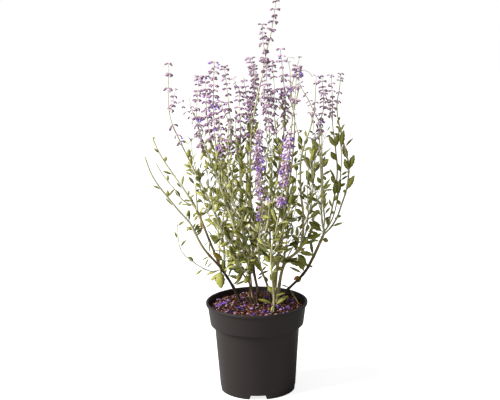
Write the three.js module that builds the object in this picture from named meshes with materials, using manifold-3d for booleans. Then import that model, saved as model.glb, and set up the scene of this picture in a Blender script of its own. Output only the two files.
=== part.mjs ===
// A Russian sage in its plastic nursery pot, in millimetres, with +Z up.
// The origin is on the pot's axis, at the surface that the pot stands on, and -Y is the front.
// Thin stems rise from a woody crown in the soil, and carry leafy side shoots and flower spikes.

import * as THREE from 'three';
import { mergeVertices } from 'three/addons/utils/BufferGeometryUtils.js';
import Module from 'manifold-3d';

const wasm = await Module();
wasm.setup();

// Clearance between pieces that touch or grow out of each other
const GAP = 0.3;

// Pot
const POT_HEIGHT = 170;
const RIM_RADIUS = 95;
const RIM_DEPTH = 5;
const COLLAR_TOP_RADIUS = 92.2;
const COLLAR_FOOT_RADIUS = 87.2;
const COLLAR_FOOT_HEIGHT = 129.5;
const BODY_TOP_RADIUS = 79.5;
const BASE_RADIUS = 70.4;
const POT_WALL = 2;
const FLOOR_HEIGHT = 9;
const FOOT_RING_WIDTH = 3.4;
const POT_SIDES = 40;
const NOTCH_COUNT = 4;
const NOTCH_TOP_WIDTH = 27;
const NOTCH_FOOT_WIDTH = 34;
const NOTCH_HEIGHT = 8;
const DRAIN_COUNT = 8;
const DRAIN_RADIUS = 5;
const DRAIN_CIRCLE_RADIUS = 48;

// Soil and the woody crown in its middle
const SOIL_EDGE_HEIGHT = 159;
const SOIL_MOUND = 3;
const CROWN_CENTRE = new THREE.Vector3(2, 20, 0);
const CROWN_RADIUS_X = 40;
const CROWN_RADIUS_Y = 30;
const CROWN_TOP = 166;
const CROWN_DEPTH = 28;

// Stems
const STEM_SIDES = 6;
const STEM_STEPS = 10;

// Flower spikes: rings of small flowers up a thin stalk, RING_SPACING apart
const SPIKE_SIDES = 5;
const STALK_RADIUS = 0.7;
const RING_SPACING = 15;

// Leaves: flat pointed plates. In a pair, each leans towards the shoot's tip by PAIR_TILT,
// the tangent of its angle from square.
const LEAF_THICKNESS = 0.9;
const LEAF_SHARE_OF_WIDTH = 0.42;
const PAIR_TILT = 0.9;

// Leafy side shoots
const SHOOT_RADIUS = 1;
const SHOOT_SIDES = 5;
const SHOOT_STEPS = 2;

const FRONT = new THREE.Vector3(0, -1, 0);
const UP = new THREE.Vector3(0, 0, 1);

// Colours of the photographed surfaces
const paint = (color, roughness) => new THREE.MeshStandardMaterial({ color, roughness, metalness: 0 });
const POT_PLASTIC = paint('#3d3936', 0.5);
const SOIL_BARK = paint('#4a2f28', 0.95);
const OLD_WOOD = paint('#3c2b26', 0.9);
const YOUNG_STEM = paint('#8d8f6e', 0.75);
const FOLIAGE = paint('#6f7c3f', 0.7);
const PALE_LEAF = paint('#a9b558', 0.65);
const DRY_LEAF = paint('#b4703a', 0.8);
const FLOWER = paint('#7d64a8', 0.75);

// Each stem has its route from foot to tip. flowers is the length of the spike at its end,
// and bloom is the radius of the spike's fullest flower ring.
const STEMS = [
  {
    name: 'left_arch', radii: [2.7, 0.9], flowers: 0,
    route: [[-28, 22, 156], [-43, 20, 190], [-66, 8, 232], [-97, -18, 279], [-117, -30, 324],
      [-125, -34, 337], [-140, -42, 357], [-157, -50, 382], [-175, -60, 410], [-186, -66, 433],
      [-195, -72, 463]],
  },
  {
    name: 'left_dark', radii: [1.7, 0.8], flowers: 0, on: 'left_arch',
    route: [[-66, 8, 232], [-87, 25, 282], [-114, 48, 343], [-153, 62, 400], [-177, 66, 438],
      [-192, 72, 471]],
  },
  {
    name: 'left_tall', radii: [1.9, 1], flowers: 95, bloom: 5, on: 'left_arch',
    route: [[-58, 13, 218], [-59, 4, 245], [-59, 0, 269], [-62, -3, 297], [-69, -7, 327],
      [-89, -22, 380], [-130, -38, 475], [-151, -45, 537], [-149, -50, 624]],
  },
  {
    name: 'left_low', radii: [1.2, 0.8], flowers: 0, on: 'left_arch',
    route: [[-65, 8, 231], [-73, 2, 229], [-84, -8, 231], [-98, -22, 241], [-110, -38, 254],
      [-120, -50, 266], [-130, -62, 278], [-138, -70, 297], [-140, -78, 329], [-138, -86, 362]],
  },
  {
    name: 'left_inner', radii: [1.7, 0.9], flowers: 75, bloom: 5.5,
    route: [[0, -3, 158], [-12, -4, 202], [-24, -5, 223], [-33, -7, 242], [-39, -10, 266],
      [-45, -16, 300], [-40, -27, 322], [-70, -42, 421], [-94, -52, 490], [-102, -55, 530],
      [-96, -58, 603]],
  },
  {
    name: 'left_pale', radii: [1.8, 0.9], flowers: 112, bloom: 6.5,
    route: [[29, 20, 158], [23, 22, 184], [17, 24, 203], [11, 26, 218], [7, 28, 233], [5, 32, 248],
      [1, 40, 263], [-3, 46, 278], [-17, 54, 300], [-29, 60, 319], [-56, 66, 388], [-85, 78, 482],
      [-90, 86, 583]],
  },
  {
    name: 'mid_left', radii: [1.3, 0.8], flowers: 78, bloom: 5.5, on: 'left_tall',
    route: [[-64, -4, 307], [-56, 6, 354], [-58, 14, 386], [-66, 24, 420], [-72, 32, 462],
      [-74, 38, 508], [-74, 42, 554], [-71, 46, 616]],
  },
  {
    name: 'middle_dark', radii: [2, 0.9], flowers: 70, bloom: 5.5,
    route: [[4, 28, 158], [1, 30, 187], [-2, 33, 201], [-5, 37, 213], [-10, 42, 226],
      [-15, 50, 245], [-20, 60, 266], [-26, 76, 294], [-28, 84, 369], [-26, 86, 463], [-27, 90, 560]],
  },
  {
    name: 'tall_middle', radii: [2.2, 1.1], flowers: 125, bloom: 5.5,
    route: [[-7, 12, 158], [-9, 12, 188], [-11, 12, 211], [-11, 11, 235], [-7, 10, 258],
      [-1, 8, 286], [-9, 2, 383], [-4, 4, 494], [13, 8, 581], [24, 10, 635], [33, 12, 669],
      [39, 13, 703], [46, 14, 745]],
  },
  {
    name: 'front_left', radii: [1.6, 1], flowers: 185, bloom: 7,
    route: [[26, -6, 158], [23, -8, 195], [17, -11, 213], [11, -14, 230], [7, -18, 250],
      [4, -24, 275], [6, -32, 300], [9, -42, 327], [10, -52, 353], [9, -60, 378], [8, -68, 407],
      [8, -76, 445], [8, -84, 477], [11, -98, 526]],
  },
  {
    name: 'front_right', radii: [1.7, 1], flowers: 140, bloom: 7.5,
    route: [[29, -44, 145], [32, -46, 185], [28, -56, 236], [28, -66, 284], [39, -82, 340],
      [52, -98, 422], [62, -108, 511]],
  },
  {
    name: 'back_left', radii: [1.8, 0.9], flowers: 95, bloom: 5,
    route: [[-12, 36, 158], [-12, 38, 184], [-13, 42, 206], [-15, 48, 226], [-21, 56, 248],
      [-29, 64, 267], [-36, 74, 282], [-42, 84, 300], [-46, 106, 324], [-58, 122, 377],
      [-45, 130, 453], [-46, 134, 497], [-55, 142, 594]],
  },
  {
    name: 'back_middle', radii: [1.7, 0.9], flowers: 62, bloom: 5,
    route: [[3, 44, 158], [1, 48, 184], [-3, 56, 204], [-5, 68, 226], [-7, 82, 256],
      [-10, 104, 312], [-14, 118, 397], [-7, 122, 492], [3, 126, 559], [-6, 132, 609]],
  },
  {
    name: 'mid_right', radii: [1.6, 0.9], flowers: 76, bloom: 6,
    route: [[32, 27, 158], [31, 30, 191], [29, 34, 216], [28, 36, 237], [27, 37, 277],
      [28, 38, 328], [48, 38, 430], [56, 40, 496], [58, 42, 533], [56, 43, 570], [53, 45, 607],
      [50, 46, 636]],
  },
  {
    name: 'top_right', radii: [1.8, 0.9], flowers: 70, bloom: 6,
    route: [[30, 1, 158], [36, 2, 198], [39, 0, 229], [44, -4, 261], [49, -8, 297], [58, -18, 385],
      [67, -24, 498], [73, -28, 548], [76, -31, 586], [78, -33, 613]],
  },
  {
    name: 'right_fork', radii: [2.3, 0.9], flowers: 55, bloom: 5.5,
    route: [[38, 12, 158], [42, 11, 191], [45, 10, 211], [49, 10, 228], [54, 9, 241], [61, 6, 250],
      [72, 2, 259], [82, -2, 273], [87, -5, 295], [88, -8, 323], [87, -11, 350], [84, -14, 373],
      [83, -17, 396], [83, -20, 423], [84, -24, 444], [88, -28, 463], [93, -34, 481],
      [99, -38, 498], [104, -42, 517], [107, -46, 534], [109, -49, 556], [111, -52, 599]],
  },
  {
    name: 'back_right', radii: [1.7, 0.9], flowers: 52, bloom: 5.5,
    route: [[25, 44, 158], [32, 50, 177], [38, 60, 200], [40, 72, 224], [46, 84, 257],
      [54, 100, 301], [70, 122, 394], [78, 132, 489], [70, 136, 537], [89, 142, 609]],
  },
  {
    name: 'right_brown', radii: [2.7, 0.9], flowers: 100, bloom: 6,
    route: [[26, 32, 156], [59, 32, 182], [90, 36, 212], [106, 40, 238], [121, 44, 269],
      [127, 46, 282], [129, 47, 291], [127, 48, 300], [125, 49, 314], [124, 51, 340],
      [125, 54, 368], [122, 60, 478], [130, 64, 528], [127, 70, 582]],
  },
  {
    name: 'right_inner', radii: [1.3, 0.8], flowers: 95, bloom: 5, on: 'right_brown',
    route: [[128, 48, 297], [130, 42, 311], [129, 40, 325], [127, 36, 346], [126, 33, 366],
      [126, 30, 393], [125, 26, 422], [124, 20, 452], [124, 16, 475], [122, 12, 498],
      [115, 8, 514], [109, 5, 526], [99, 2, 549], [90, 0, 564], [83, -2, 580]],
  },
  {
    name: 'right_long', radii: [1.4, 0.8], flowers: 84, bloom: 5.5, on: 'right_brown',
    route: [[129, 47, 289], [137, 52, 300], [142, 54, 321], [147, 60, 342], [152, 68, 365],
      [155, 74, 387], [156, 80, 409], [154, 86, 432], [152, 91, 455], [149, 95, 477],
      [148, 98, 497], [148, 100, 520], [148, 101, 541], [147, 102, 558], [146, 102, 577]],
  },
  {
    name: 'right_outer', radii: [1.6, 0.8], flowers: 46, bloom: 4.5, on: 'right_brown',
    route: [[127, 46, 283], [138, 48, 293], [146, 52, 302], [155, 57, 316], [162, 62, 335],
      [170, 66, 357], [175, 69, 378], [177, 71, 399], [176, 73, 419], [172, 74, 436],
      [168, 75, 452], [164, 76, 471], [159, 77, 491], [156, 78, 512], [156, 79, 533],
      [160, 80, 553], [162, 80, 572], [163, 80, 585]],
  },
];

// Each leafy side shoot grows from a stem at a share of its length, towards a side.
// turn is the compass angle in degrees, 0 to the right (+X) and 90 to the back (+Y).
const SHOOTS = [
  { on: 'left_arch', at: 0.62, turn: 200, rise: 35, length: 52, pairs: 3, leaf: 24 },
  { on: 'left_dark', at: 0.5, turn: 110, rise: 55, length: 62, pairs: 4, leaf: 24 },
  { on: 'left_tall', at: 0.2, turn: 215, rise: 50, length: 66, pairs: 4, leaf: 27 },
  { on: 'left_inner', at: 0.337, turn: 250, rise: 40, length: 78, pairs: 4, leaf: 29 },
  { on: 'left_pale', at: 0.46, turn: 165, rise: 45, length: 60, pairs: 4, leaf: 26 },
  { on: 'front_left', at: 0.33, turn: 250, rise: 32, length: 76, pairs: 4, leaf: 28 },
  { on: 'front_right', at: 0.38, turn: 280, rise: 34, length: 72, pairs: 4, leaf: 29 },
  { on: 'top_right', at: 0.3, turn: 320, rise: 35, length: 70, pairs: 4, leaf: 29 },
  { on: 'right_fork', at: 0.42, turn: 325, rise: 40, length: 66, pairs: 4, leaf: 28 },
  { on: 'right_outer', at: 0.32, turn: 40, rise: 62, length: 46, pairs: 3, leaf: 24 },
  { on: 'right_long', at: 0.35, turn: 95, rise: 50, length: 60, pairs: 4, leaf: 24 },
  { on: 'back_left', at: 0.4, turn: 140, rise: 56, length: 56, pairs: 4, leaf: 26 },
  { on: 'back_right', at: 0.38, turn: 40, rise: 60, length: 56, pairs: 4, leaf: 26 },
  { on: 'back_middle', at: 0.3, turn: 95, rise: 62, length: 60, pairs: 4, leaf: 28 },
];

// Single leaves low on the plant that show on their own
const LEAVES = [
  {
    name: 'hanging_leaf', on: 'left_arch', at: 0.2, turn: 245, rise: -58, length: 34, width: 13,
    paint: PALE_LEAF,
  },
  {
    name: 'dry_leaf', on: 'right_brown', at: 0.13, turn: 300, rise: 12, length: 20, width: 9,
    paint: DRY_LEAF,
  },
  {
    name: 'low_front_leaf', on: 'front_right', at: 0.1, turn: 200, rise: 15, length: 30, width: 12,
    paint: FOLIAGE,
  },
  {
    name: 'low_right_leaf', on: 'front_right', at: 0.14, turn: 345, rise: 30, length: 26, width: 11,
    paint: FOLIAGE,
  },
];

// Solids

function toSolid(geometry) {
  const bare = geometry.clone();
  bare.deleteAttribute('normal');
  bare.deleteAttribute('uv');
  const merged = mergeVertices(bare, 1e-4);
  const mesh = new wasm.Mesh({
    numProp: 3,
    vertProperties: new Float32Array(merged.attributes.position.array),
    triVerts: new Uint32Array(merged.index.array),
  });
  return new wasm.Manifold(mesh);
}

function toGeometry(solid) {
  const mesh = solid.getMesh();
  const geometry = new THREE.BufferGeometry();
  geometry.setAttribute('position', new THREE.BufferAttribute(mesh.vertProperties, 3));
  geometry.setIndex(new THREE.BufferAttribute(mesh.triVerts, 1));
  return geometry;
}

// What is left of a piece after a cut, without the slivers that a cut can leave beside it
function mainBody(solid) {
  const bodies = solid.decompose();
  return bodies.reduce((largest, body) => (body.volume() > largest.volume() ? body : largest));
}

// A closed profile turned about the vertical axis. The profile runs up the outside.
function turned(profile, sides) {
  const points = profile.map(([radius, height]) => new THREE.Vector2(radius, height));
  return new THREE.LatheGeometry(points, sides).rotateX(Math.PI / 2);
}

// A turned profile whose axis is bent along a curve. Its heights are shares of the curve's length.
function turnedAlong(curve, profile, sides) {
  const first = profile[0][1];
  const last = profile[profile.length - 1][1];
  const closed = [[0, first], ...profile, [0, last]];
  const points = closed.map(([radius, share]) => new THREE.Vector2(radius, share));
  const geometry = new THREE.LatheGeometry(points, sides);
  const position = geometry.attributes.position;
  const place = new THREE.Vector3();
  for (let i = 0; i < position.count; i += 1) {
    const share = position.getY(i);
    const along = curve.getTangentAt(share);
    const side = new THREE.Vector3().crossVectors(along, FRONT).normalize();
    const across = new THREE.Vector3().crossVectors(side, along);
    curve.getPointAt(share, place);
    place.addScaledVector(side, position.getX(i));
    place.addScaledVector(across, position.getZ(i));
    position.setXYZ(i, place.x, place.y, place.z);
  }
  return geometry;
}

function routeCurve(route) {
  const points = route.map((point) => new THREE.Vector3(...point));
  return new THREE.CatmullRomCurve3(points, false, 'catmullrom', 0.5);
}

// Pot

function potShell() {
  const rimFoot = POT_HEIGHT - RIM_DEPTH;
  const ledge = COLLAR_FOOT_HEIGHT - 2;
  const footInner = BASE_RADIUS - FOOT_RING_WIDTH;
  const profile = [
    [0, FLOOR_HEIGHT - POT_WALL],
    [footInner - 1, FLOOR_HEIGHT - POT_WALL],
    [footInner, 0],
    [BASE_RADIUS, 0],
    [BODY_TOP_RADIUS, ledge],
    [COLLAR_FOOT_RADIUS, ledge],
    [COLLAR_FOOT_RADIUS + 0.3, COLLAR_FOOT_HEIGHT],
    [COLLAR_TOP_RADIUS, rimFoot],
    [RIM_RADIUS, rimFoot + 0.5],
    [RIM_RADIUS, POT_HEIGHT - 0.8],
    [RIM_RADIUS - 1, POT_HEIGHT],
    [COLLAR_TOP_RADIUS - POT_WALL + 0.4, POT_HEIGHT],
    [COLLAR_TOP_RADIUS - POT_WALL, rimFoot],
    [COLLAR_FOOT_RADIUS - POT_WALL, ledge + POT_WALL],
    [BODY_TOP_RADIUS - POT_WALL, ledge - POT_WALL],
    [BASE_RADIUS - POT_WALL + 0.6, FLOOR_HEIGHT],
    [0, FLOOR_HEIGHT],
  ];
  return toSolid(turned(profile, POT_SIDES));
}

// A wedge through the foot ring, wider at the bottom, that lets water run out
function footNotch(turn) {
  const outline = new THREE.Shape([
    new THREE.Vector2(-NOTCH_FOOT_WIDTH / 2, -1),
    new THREE.Vector2(NOTCH_FOOT_WIDTH / 2, -1),
    new THREE.Vector2(NOTCH_TOP_WIDTH / 2, NOTCH_HEIGHT),
    new THREE.Vector2(-NOTCH_TOP_WIDTH / 2, NOTCH_HEIGHT),
  ]);
  const wedge = new THREE.ExtrudeGeometry(outline, { depth: 30, bevelEnabled: false });
  wedge.rotateX(Math.PI / 2);
  wedge.translate(0, BASE_RADIUS + 14, 0);
  wedge.rotateZ(turn);
  return toSolid(wedge);
}

function drainHole(turn) {
  const hole = new THREE.CylinderGeometry(DRAIN_RADIUS, DRAIN_RADIUS, 3 * FLOOR_HEIGHT, 10);
  hole.rotateX(Math.PI / 2);
  hole.translate(DRAIN_CIRCLE_RADIUS, 0, FLOOR_HEIGHT);
  hole.rotateZ(turn);
  return toSolid(hole);
}

function makePot() {
  let pot = potShell();
  for (let i = 0; i < NOTCH_COUNT; i += 1) {
    pot = pot.subtract(footNotch((i * 2 * Math.PI) / NOTCH_COUNT));
  }
  for (let i = 0; i < DRAIN_COUNT; i += 1) {
    pot = pot.subtract(drainHole(((i + 0.5) * 2 * Math.PI) / DRAIN_COUNT));
  }
  return pot;
}

// Soil and crown

// The mass of bark and roots that fills the pot, with a low mound on top
function soilFill() {
  const ledge = COLLAR_FOOT_HEIGHT - 2;
  const inside = (height) => {
    const share = (height - ledge) / (POT_HEIGHT - RIM_DEPTH - ledge);
    return COLLAR_FOOT_RADIUS + share * (COLLAR_TOP_RADIUS - COLLAR_FOOT_RADIUS) - POT_WALL;
  };
  const profile = [
    [0, FLOOR_HEIGHT + GAP],
    [BASE_RADIUS - POT_WALL - 0.2, FLOOR_HEIGHT + GAP],
    [BODY_TOP_RADIUS - POT_WALL - 2 * GAP, ledge - POT_WALL],
    [COLLAR_FOOT_RADIUS - POT_WALL - 2 * GAP, ledge + POT_WALL + GAP],
    [inside(SOIL_EDGE_HEIGHT) - 2 * GAP, SOIL_EDGE_HEIGHT],
    [RIM_RADIUS * 0.5, SOIL_EDGE_HEIGHT + 0.8 * SOIL_MOUND],
    [0, SOIL_EDGE_HEIGHT + SOIL_MOUND],
  ];
  return toSolid(turned(profile, POT_SIDES));
}

// The knotted wood that all the stems come from, half sunk in the soil
function crownLump(grow) {
  const profile = [
    [0, CROWN_TOP - CROWN_DEPTH - grow],
    [0.62 + grow / CROWN_RADIUS_X, CROWN_TOP - CROWN_DEPTH - grow],
    [0.96 + grow / CROWN_RADIUS_Y, CROWN_TOP - 0.55 * CROWN_DEPTH],
    [0.9 + grow / CROWN_RADIUS_Y, CROWN_TOP - 0.22 * CROWN_DEPTH + grow],
    [0.55 + grow / CROWN_RADIUS_Y, CROWN_TOP - 0.04 * CROWN_DEPTH + grow],
    [0, CROWN_TOP + grow],
  ];
  const lump = turned(profile, 16);
  lump.scale(CROWN_RADIUS_X, CROWN_RADIUS_Y, 1);
  lump.translate(CROWN_CENTRE.x, CROWN_CENTRE.y, 0);
  return toSolid(lump);
}

// Stems

function stemRadius(stem, share) {
  return THREE.MathUtils.lerp(stem.radii[0], stem.radii[1], share);
}

// The tapered stem from its foot to where its flowers begin, made fatter by grow
function stemTube(stem, grow) {
  const first = grow > 0 ? 0 : GAP / stem.length;
  const profile = [];
  for (let i = 0; i <= STEM_STEPS; i += 1) {
    const share = first + (i / STEM_STEPS) * (stem.bareShare - first);
    profile.push([stemRadius(stem, share) + grow, share]);
  }
  return toSolid(turnedAlong(stem.curve, profile, STEM_SIDES));
}

// Flower spikes

// A thin stalk with a bead for each ring of flowers. The rings get smaller and closer to the tip.
function flowerSpike(stem) {
  const start = stem.bareShare + GAP / stem.length;
  const rings = Math.round(stem.flowers / RING_SPACING);
  const profile = [[STALK_RADIUS, start]];
  for (let i = 0; i < rings; i += 1) {
    const share = start + (1 - start) * (((i + 0.5) / rings) ** 0.9);
    const size = stem.bloom * (1 - 0.45 * (i / rings));
    const half = (0.6 * size) / stem.length;
    profile.push([STALK_RADIUS, share - half]);
    profile.push([size, share]);
    profile.push([STALK_RADIUS, Math.min(share + half, 0.9995)]);
  }
  profile.push([0.5 * STALK_RADIUS, 1]);
  return toSolid(turnedAlong(stem.curve, profile, SPIKE_SIDES));
}

// Leaves

function compass(turn, rise) {
  const flat = Math.cos(THREE.MathUtils.degToRad(rise));
  const angle = THREE.MathUtils.degToRad(turn);
  const up = Math.sin(THREE.MathUtils.degToRad(rise));
  return new THREE.Vector3(flat * Math.cos(angle), flat * Math.sin(angle), up);
}

// A pointed oval plate that starts at base and lies along direction, with its face towards facing
function leafPlate(base, direction, facing, length, width) {
  const outline = new THREE.Shape([
    new THREE.Vector2(0, -0.4),
    new THREE.Vector2(0.5 * length, -0.5 * width),
    new THREE.Vector2(length, 0),
    new THREE.Vector2(0.5 * length, 0.5 * width),
    new THREE.Vector2(0, 0.4),
  ]);
  const plate = new THREE.ExtrudeGeometry(outline, { depth: LEAF_THICKNESS, bevelEnabled: false });
  plate.translate(0, 0, -LEAF_THICKNESS / 2);
  const along = direction.clone().normalize();
  const across = new THREE.Vector3().crossVectors(facing, along).normalize();
  const face = new THREE.Vector3().crossVectors(along, across);
  plate.applyMatrix4(new THREE.Matrix4().makeBasis(along, across, face).setPosition(base));
  return toSolid(plate);
}

// A leaf that grows straight from a stem
function singleLeaf(row, stem) {
  const base = stem.curve.getPointAt(row.at);
  const plate = leafPlate(base, compass(row.turn, row.rise), UP, row.length, row.width);
  return mainBody(plate.subtract(stem.clear));
}

// Leafy shoots

// A twig with pairs of leaves, each pair a quarter turn from the last, and a leaf at its tip.
// A leaf that would cut into a neighbour isn't there.
function leafyShoot(row, stem, neighbours) {
  const base = stem.curve.getPointAt(row.at);
  const reach = compass(row.turn, row.rise).multiplyScalar(row.length);
  const middle = base.clone().addScaledVector(reach, 0.5).addScaledVector(UP, -0.06 * row.length);
  const tip = base.clone().add(reach);
  const curve = new THREE.CatmullRomCurve3([base, middle, tip]);
  const profile = [];
  for (let i = 0; i <= SHOOT_STEPS; i += 1) {
    const share = i / SHOOT_STEPS;
    profile.push([SHOOT_RADIUS * (1 - 0.4 * share), share]);
  }
  let shoot = toSolid(turnedAlong(curve, profile, SHOOT_SIDES)).subtract(stem.clear);
  const addLeaf = (share, direction, facing, length) => {
    const leaf = leafPlate(
      curve.getPointAt(share), direction, facing, length, LEAF_SHARE_OF_WIDTH * length,
    );
    const cuts = neighbours.some((other) => other.intersect(leaf).volume() > 0);
    if (!cuts) {
      shoot = shoot.add(leaf);
    }
  };
  for (let i = 0; i < row.pairs; i += 1) {
    const share = (i + 0.8) / (row.pairs + 0.4);
    const along = curve.getTangentAt(share);
    const level = new THREE.Vector3().crossVectors(along, UP).normalize();
    const side = i % 2 === 0 ? level : new THREE.Vector3().crossVectors(level, along);
    const length = row.leaf * (1 - 0.12 * i);
    for (const sign of [1, -1]) {
      const direction = side.clone().multiplyScalar(sign).addScaledVector(along, PAIR_TILT);
      addLeaf(share, direction, along, length);
    }
  }
  const end = curve.getTangentAt(0.97);
  addLeaf(0.97, end, UP, 0.8 * row.leaf);
  return mainBody(shoot);
}

// The whole plant in its pot

const plant = new THREE.Group();
const placed = [];

function place(name, solid, material) {
  const mesh = new THREE.Mesh(toGeometry(solid), material);
  mesh.name = name;
  plant.add(mesh);
  placed.push(solid);
}

const stems = {};
for (const row of STEMS) {
  const curve = routeCurve(row.route);
  const length = curve.getLength();
  const stem = { ...row, curve, length, bareShare: 1 - row.flowers / length };
  stem.clear = stemTube(stem, GAP / Math.cos(Math.PI / STEM_SIDES));
  stems[row.name] = stem;
}

const crownClear = crownLump(GAP);
let soil = soilFill().subtract(crownClear);
for (const stem of Object.values(stems)) {
  if (!stem.on) {
    soil = soil.subtract(stem.clear);
  }
}

place('pot', makePot(), POT_PLASTIC);
place('soil', soil, SOIL_BARK);
place('root_crown', crownLump(0), OLD_WOOD);

for (const stem of Object.values(stems)) {
  const seat = stem.on ? stems[stem.on].clear : crownClear;
  place(`stem_${stem.name}`, mainBody(stemTube(stem, 0).subtract(seat)), YOUNG_STEM);
}

for (const stem of Object.values(stems)) {
  if (stem.flowers > 0) {
    place(`flower_spike_${stem.name}`, flowerSpike(stem), FLOWER);
  }
}

for (const row of LEAVES) {
  place(row.name, singleLeaf(row, stems[row.on]), row.paint);
}

for (const row of SHOOTS) {
  place(`leafy_shoot_${row.on}`, leafyShoot(row, stems[row.on], placed), FOLIAGE);
}

export default plant;
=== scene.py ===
"""A Russian sage in its plastic nursery pot, with the finish of every surface.

Plant sizes are in millimetres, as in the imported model, and become metres when a mesh is made.
"""

import math

import bpy
import numpy as np
from mathutils import Matrix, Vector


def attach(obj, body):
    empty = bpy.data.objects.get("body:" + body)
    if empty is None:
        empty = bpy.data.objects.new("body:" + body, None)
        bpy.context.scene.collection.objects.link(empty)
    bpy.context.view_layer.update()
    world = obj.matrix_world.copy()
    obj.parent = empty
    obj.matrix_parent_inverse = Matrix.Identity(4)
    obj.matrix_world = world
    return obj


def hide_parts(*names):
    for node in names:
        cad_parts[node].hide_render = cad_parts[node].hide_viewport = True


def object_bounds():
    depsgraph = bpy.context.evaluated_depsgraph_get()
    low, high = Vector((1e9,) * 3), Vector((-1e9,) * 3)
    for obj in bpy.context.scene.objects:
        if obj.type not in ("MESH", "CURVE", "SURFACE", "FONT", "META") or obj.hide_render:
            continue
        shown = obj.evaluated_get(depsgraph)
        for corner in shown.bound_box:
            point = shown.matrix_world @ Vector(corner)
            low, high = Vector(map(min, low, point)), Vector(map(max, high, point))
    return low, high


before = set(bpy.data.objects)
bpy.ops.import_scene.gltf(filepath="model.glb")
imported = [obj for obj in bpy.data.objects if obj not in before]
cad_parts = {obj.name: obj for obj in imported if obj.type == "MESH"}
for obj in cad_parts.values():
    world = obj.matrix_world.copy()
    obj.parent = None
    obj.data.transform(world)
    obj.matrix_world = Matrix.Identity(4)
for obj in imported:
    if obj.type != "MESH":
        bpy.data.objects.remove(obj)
CAD_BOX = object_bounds()

MM = 0.001

# Camera, fitted to the pot's rim, collar and base in the photograph
CAMERA_DISTANCE = 2500
CAMERA_HEIGHT = 946.8
CAMERA_PITCH = math.radians(13.124)
CAMERA_YAW = math.radians(-0.218)
CAMERA_ROLL = math.radians(0.938)
LENS_FOR_36_MM_SENSOR = 100.4
CAMERA_RANGE_IN_METRES = 50

# Pot, from the foot up
POT_HEIGHT = 170
RIM_RADIUS = 95
RIM_DEPTH = 5
COLLAR_TOP_RADIUS = 92.2
COLLAR_FOOT_RADIUS = 87.2
COLLAR_FOOT_HEIGHT = 129.5
COLLAR_LEDGE = 2
BODY_TOP_RADIUS = 79.5
BASE_RADIUS = 70.4
POT_WALL = 2
FLOOR_HEIGHT = 9
FOOT_RING_WIDTH = 3.4
POT_SIDES = 144
SHARP_EDGE = math.radians(38)
NOTCH_COUNT = 4
NOTCH_TOP_WIDTH = 27
NOTCH_FOOT_WIDTH = 34
NOTCH_HEIGHT = 8
NOTCH_REACH = 14
DRAIN_COUNT = 8
DRAIN_RADIUS = 5
DRAIN_SIDES = 20
DRAIN_CIRCLE_RADIUS = 48

# Soil and crown
SOIL_RADIUS = 89
SOIL_GAP = 0.4
SOIL_EDGE_HEIGHT = 159
SOIL_MOUND = 3
SOIL_RINGS = 60
SOIL_SIDES = 160
LITTER_RADIUS = 86
PATCH_RADIUS = 84
BARK_CHIP_COUNT = 1500
BARK_CHIP_SIZE = (2.2, 7.5)
BARK_CHIP_LIFT = 0.12
LOOSE_FLOWER_COUNT = 22
LOOSE_FLOWER_LIFT = 2.2
LOOSE_CALYX_COUNT = 110
LOOSE_CALYX_LIFT = 1.6
CROWN_CENTRE = (2, 20)
CROWN_RADII = (34.4, 25.8)
CROWN_TOP = 165
CROWN_DROP = 15
CROWN_RINGS = 16
CROWN_SIDES = 48

# Lumps on a surface: height, how far apart, and seed
SOIL_LUMPS = [(1.6, 26, 1), (1.1, 9, 2), (0.5, 4, 3)]
CROWN_LUMPS = [(2.2, 14, 5), (1.2, 5, 6)]

# Fallen flower parts: ranges of length, width, droop and tint
FALLEN_FLOWER_RANGES = [(3.5, 6.5), (3, 5.5), (0.2, 0.9), (0, 0.8)]
FALLEN_CALYX_RANGES = [(4, 7), (2, 3), (0.2, 0.8), (0.3, 1)]

# Studio, in metres: the lamp's power is in watts, and the surroundings and the floor's glow are
# shares of white
KEY_LIGHT = 210
KEY_SIZE = 1.6
KEY_PLACE = (-2.25, -0.75, 2.1)
KEY_AIM = (0, 0, 0.35)
FILL_LIGHT = 0.375
FLOOR_GLOW = 0.81
FLOOR_HALF_WIDTH = 4

# Directions: flowers droop towards HANG, leaves that grow by chance turn to LIT_FROM, and leaves that
# are placed one by one turn to the last
FRONT = np.array([0.0, -1.0, 0.0])
UP = np.array([0.0, 0.0, 1.0])
HANG = np.array([0.02, 0.013, -1.0])
LIT_FROM = np.array([-0.5, -1.0, 0.8])
PLACED_LEAVES_FACE = np.array([-0.3, -1.0, 0.7])

# How leaves change with height: heights, and the values there
LEAF_SIZE = ([200, 300, 400, 470, 540], [1.05, 1.1, 0.95, 0.8, 0.5])
LEAF_SLIM = ([220, 350, 480], [0.34, 0.31, 0.33])
LEAF_TINT = ([200, 260, 360, 480], [0.42, 0.4, 0.34, 0.33])
LEAF_TILT = ([220, 350, 480], [1.0, 0.72, 0.52])
DRY_SHARE = ([220, 320], [0.3, 0])
TWIG_REACH = ([250, 420, 500], [1, 0.8, 0.5])

# Leaves by chance: ranges, and how much a face follows its stem, the light and chance
LEAF_CURL = (0.1, 0.8)
LEAF_FOLD = (0.05, 0.4)
LEAF_WIDTH_RANGE = (0.85, 1.15)
PAIR_LENGTH_RANGE = (0.8, 1.12)
GAP_RANGE = (0.75, 1.25)
LEAF_STALK = 0.7
TINT_SPREAD = 0.22
FACE_BY_STEM = 0.55
FACE_BY_LIGHT = 0.75
FACE_BY_CHANCE = 0.42

# Twigs: ranges of length, and the share of bare joints with two small young leaves
TWIG_LENGTH = (20, 66)
SIDE_SPIKE_LENGTH = (16, 46)
YOUNG_PAIR_SHARE = 0.4

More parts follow.
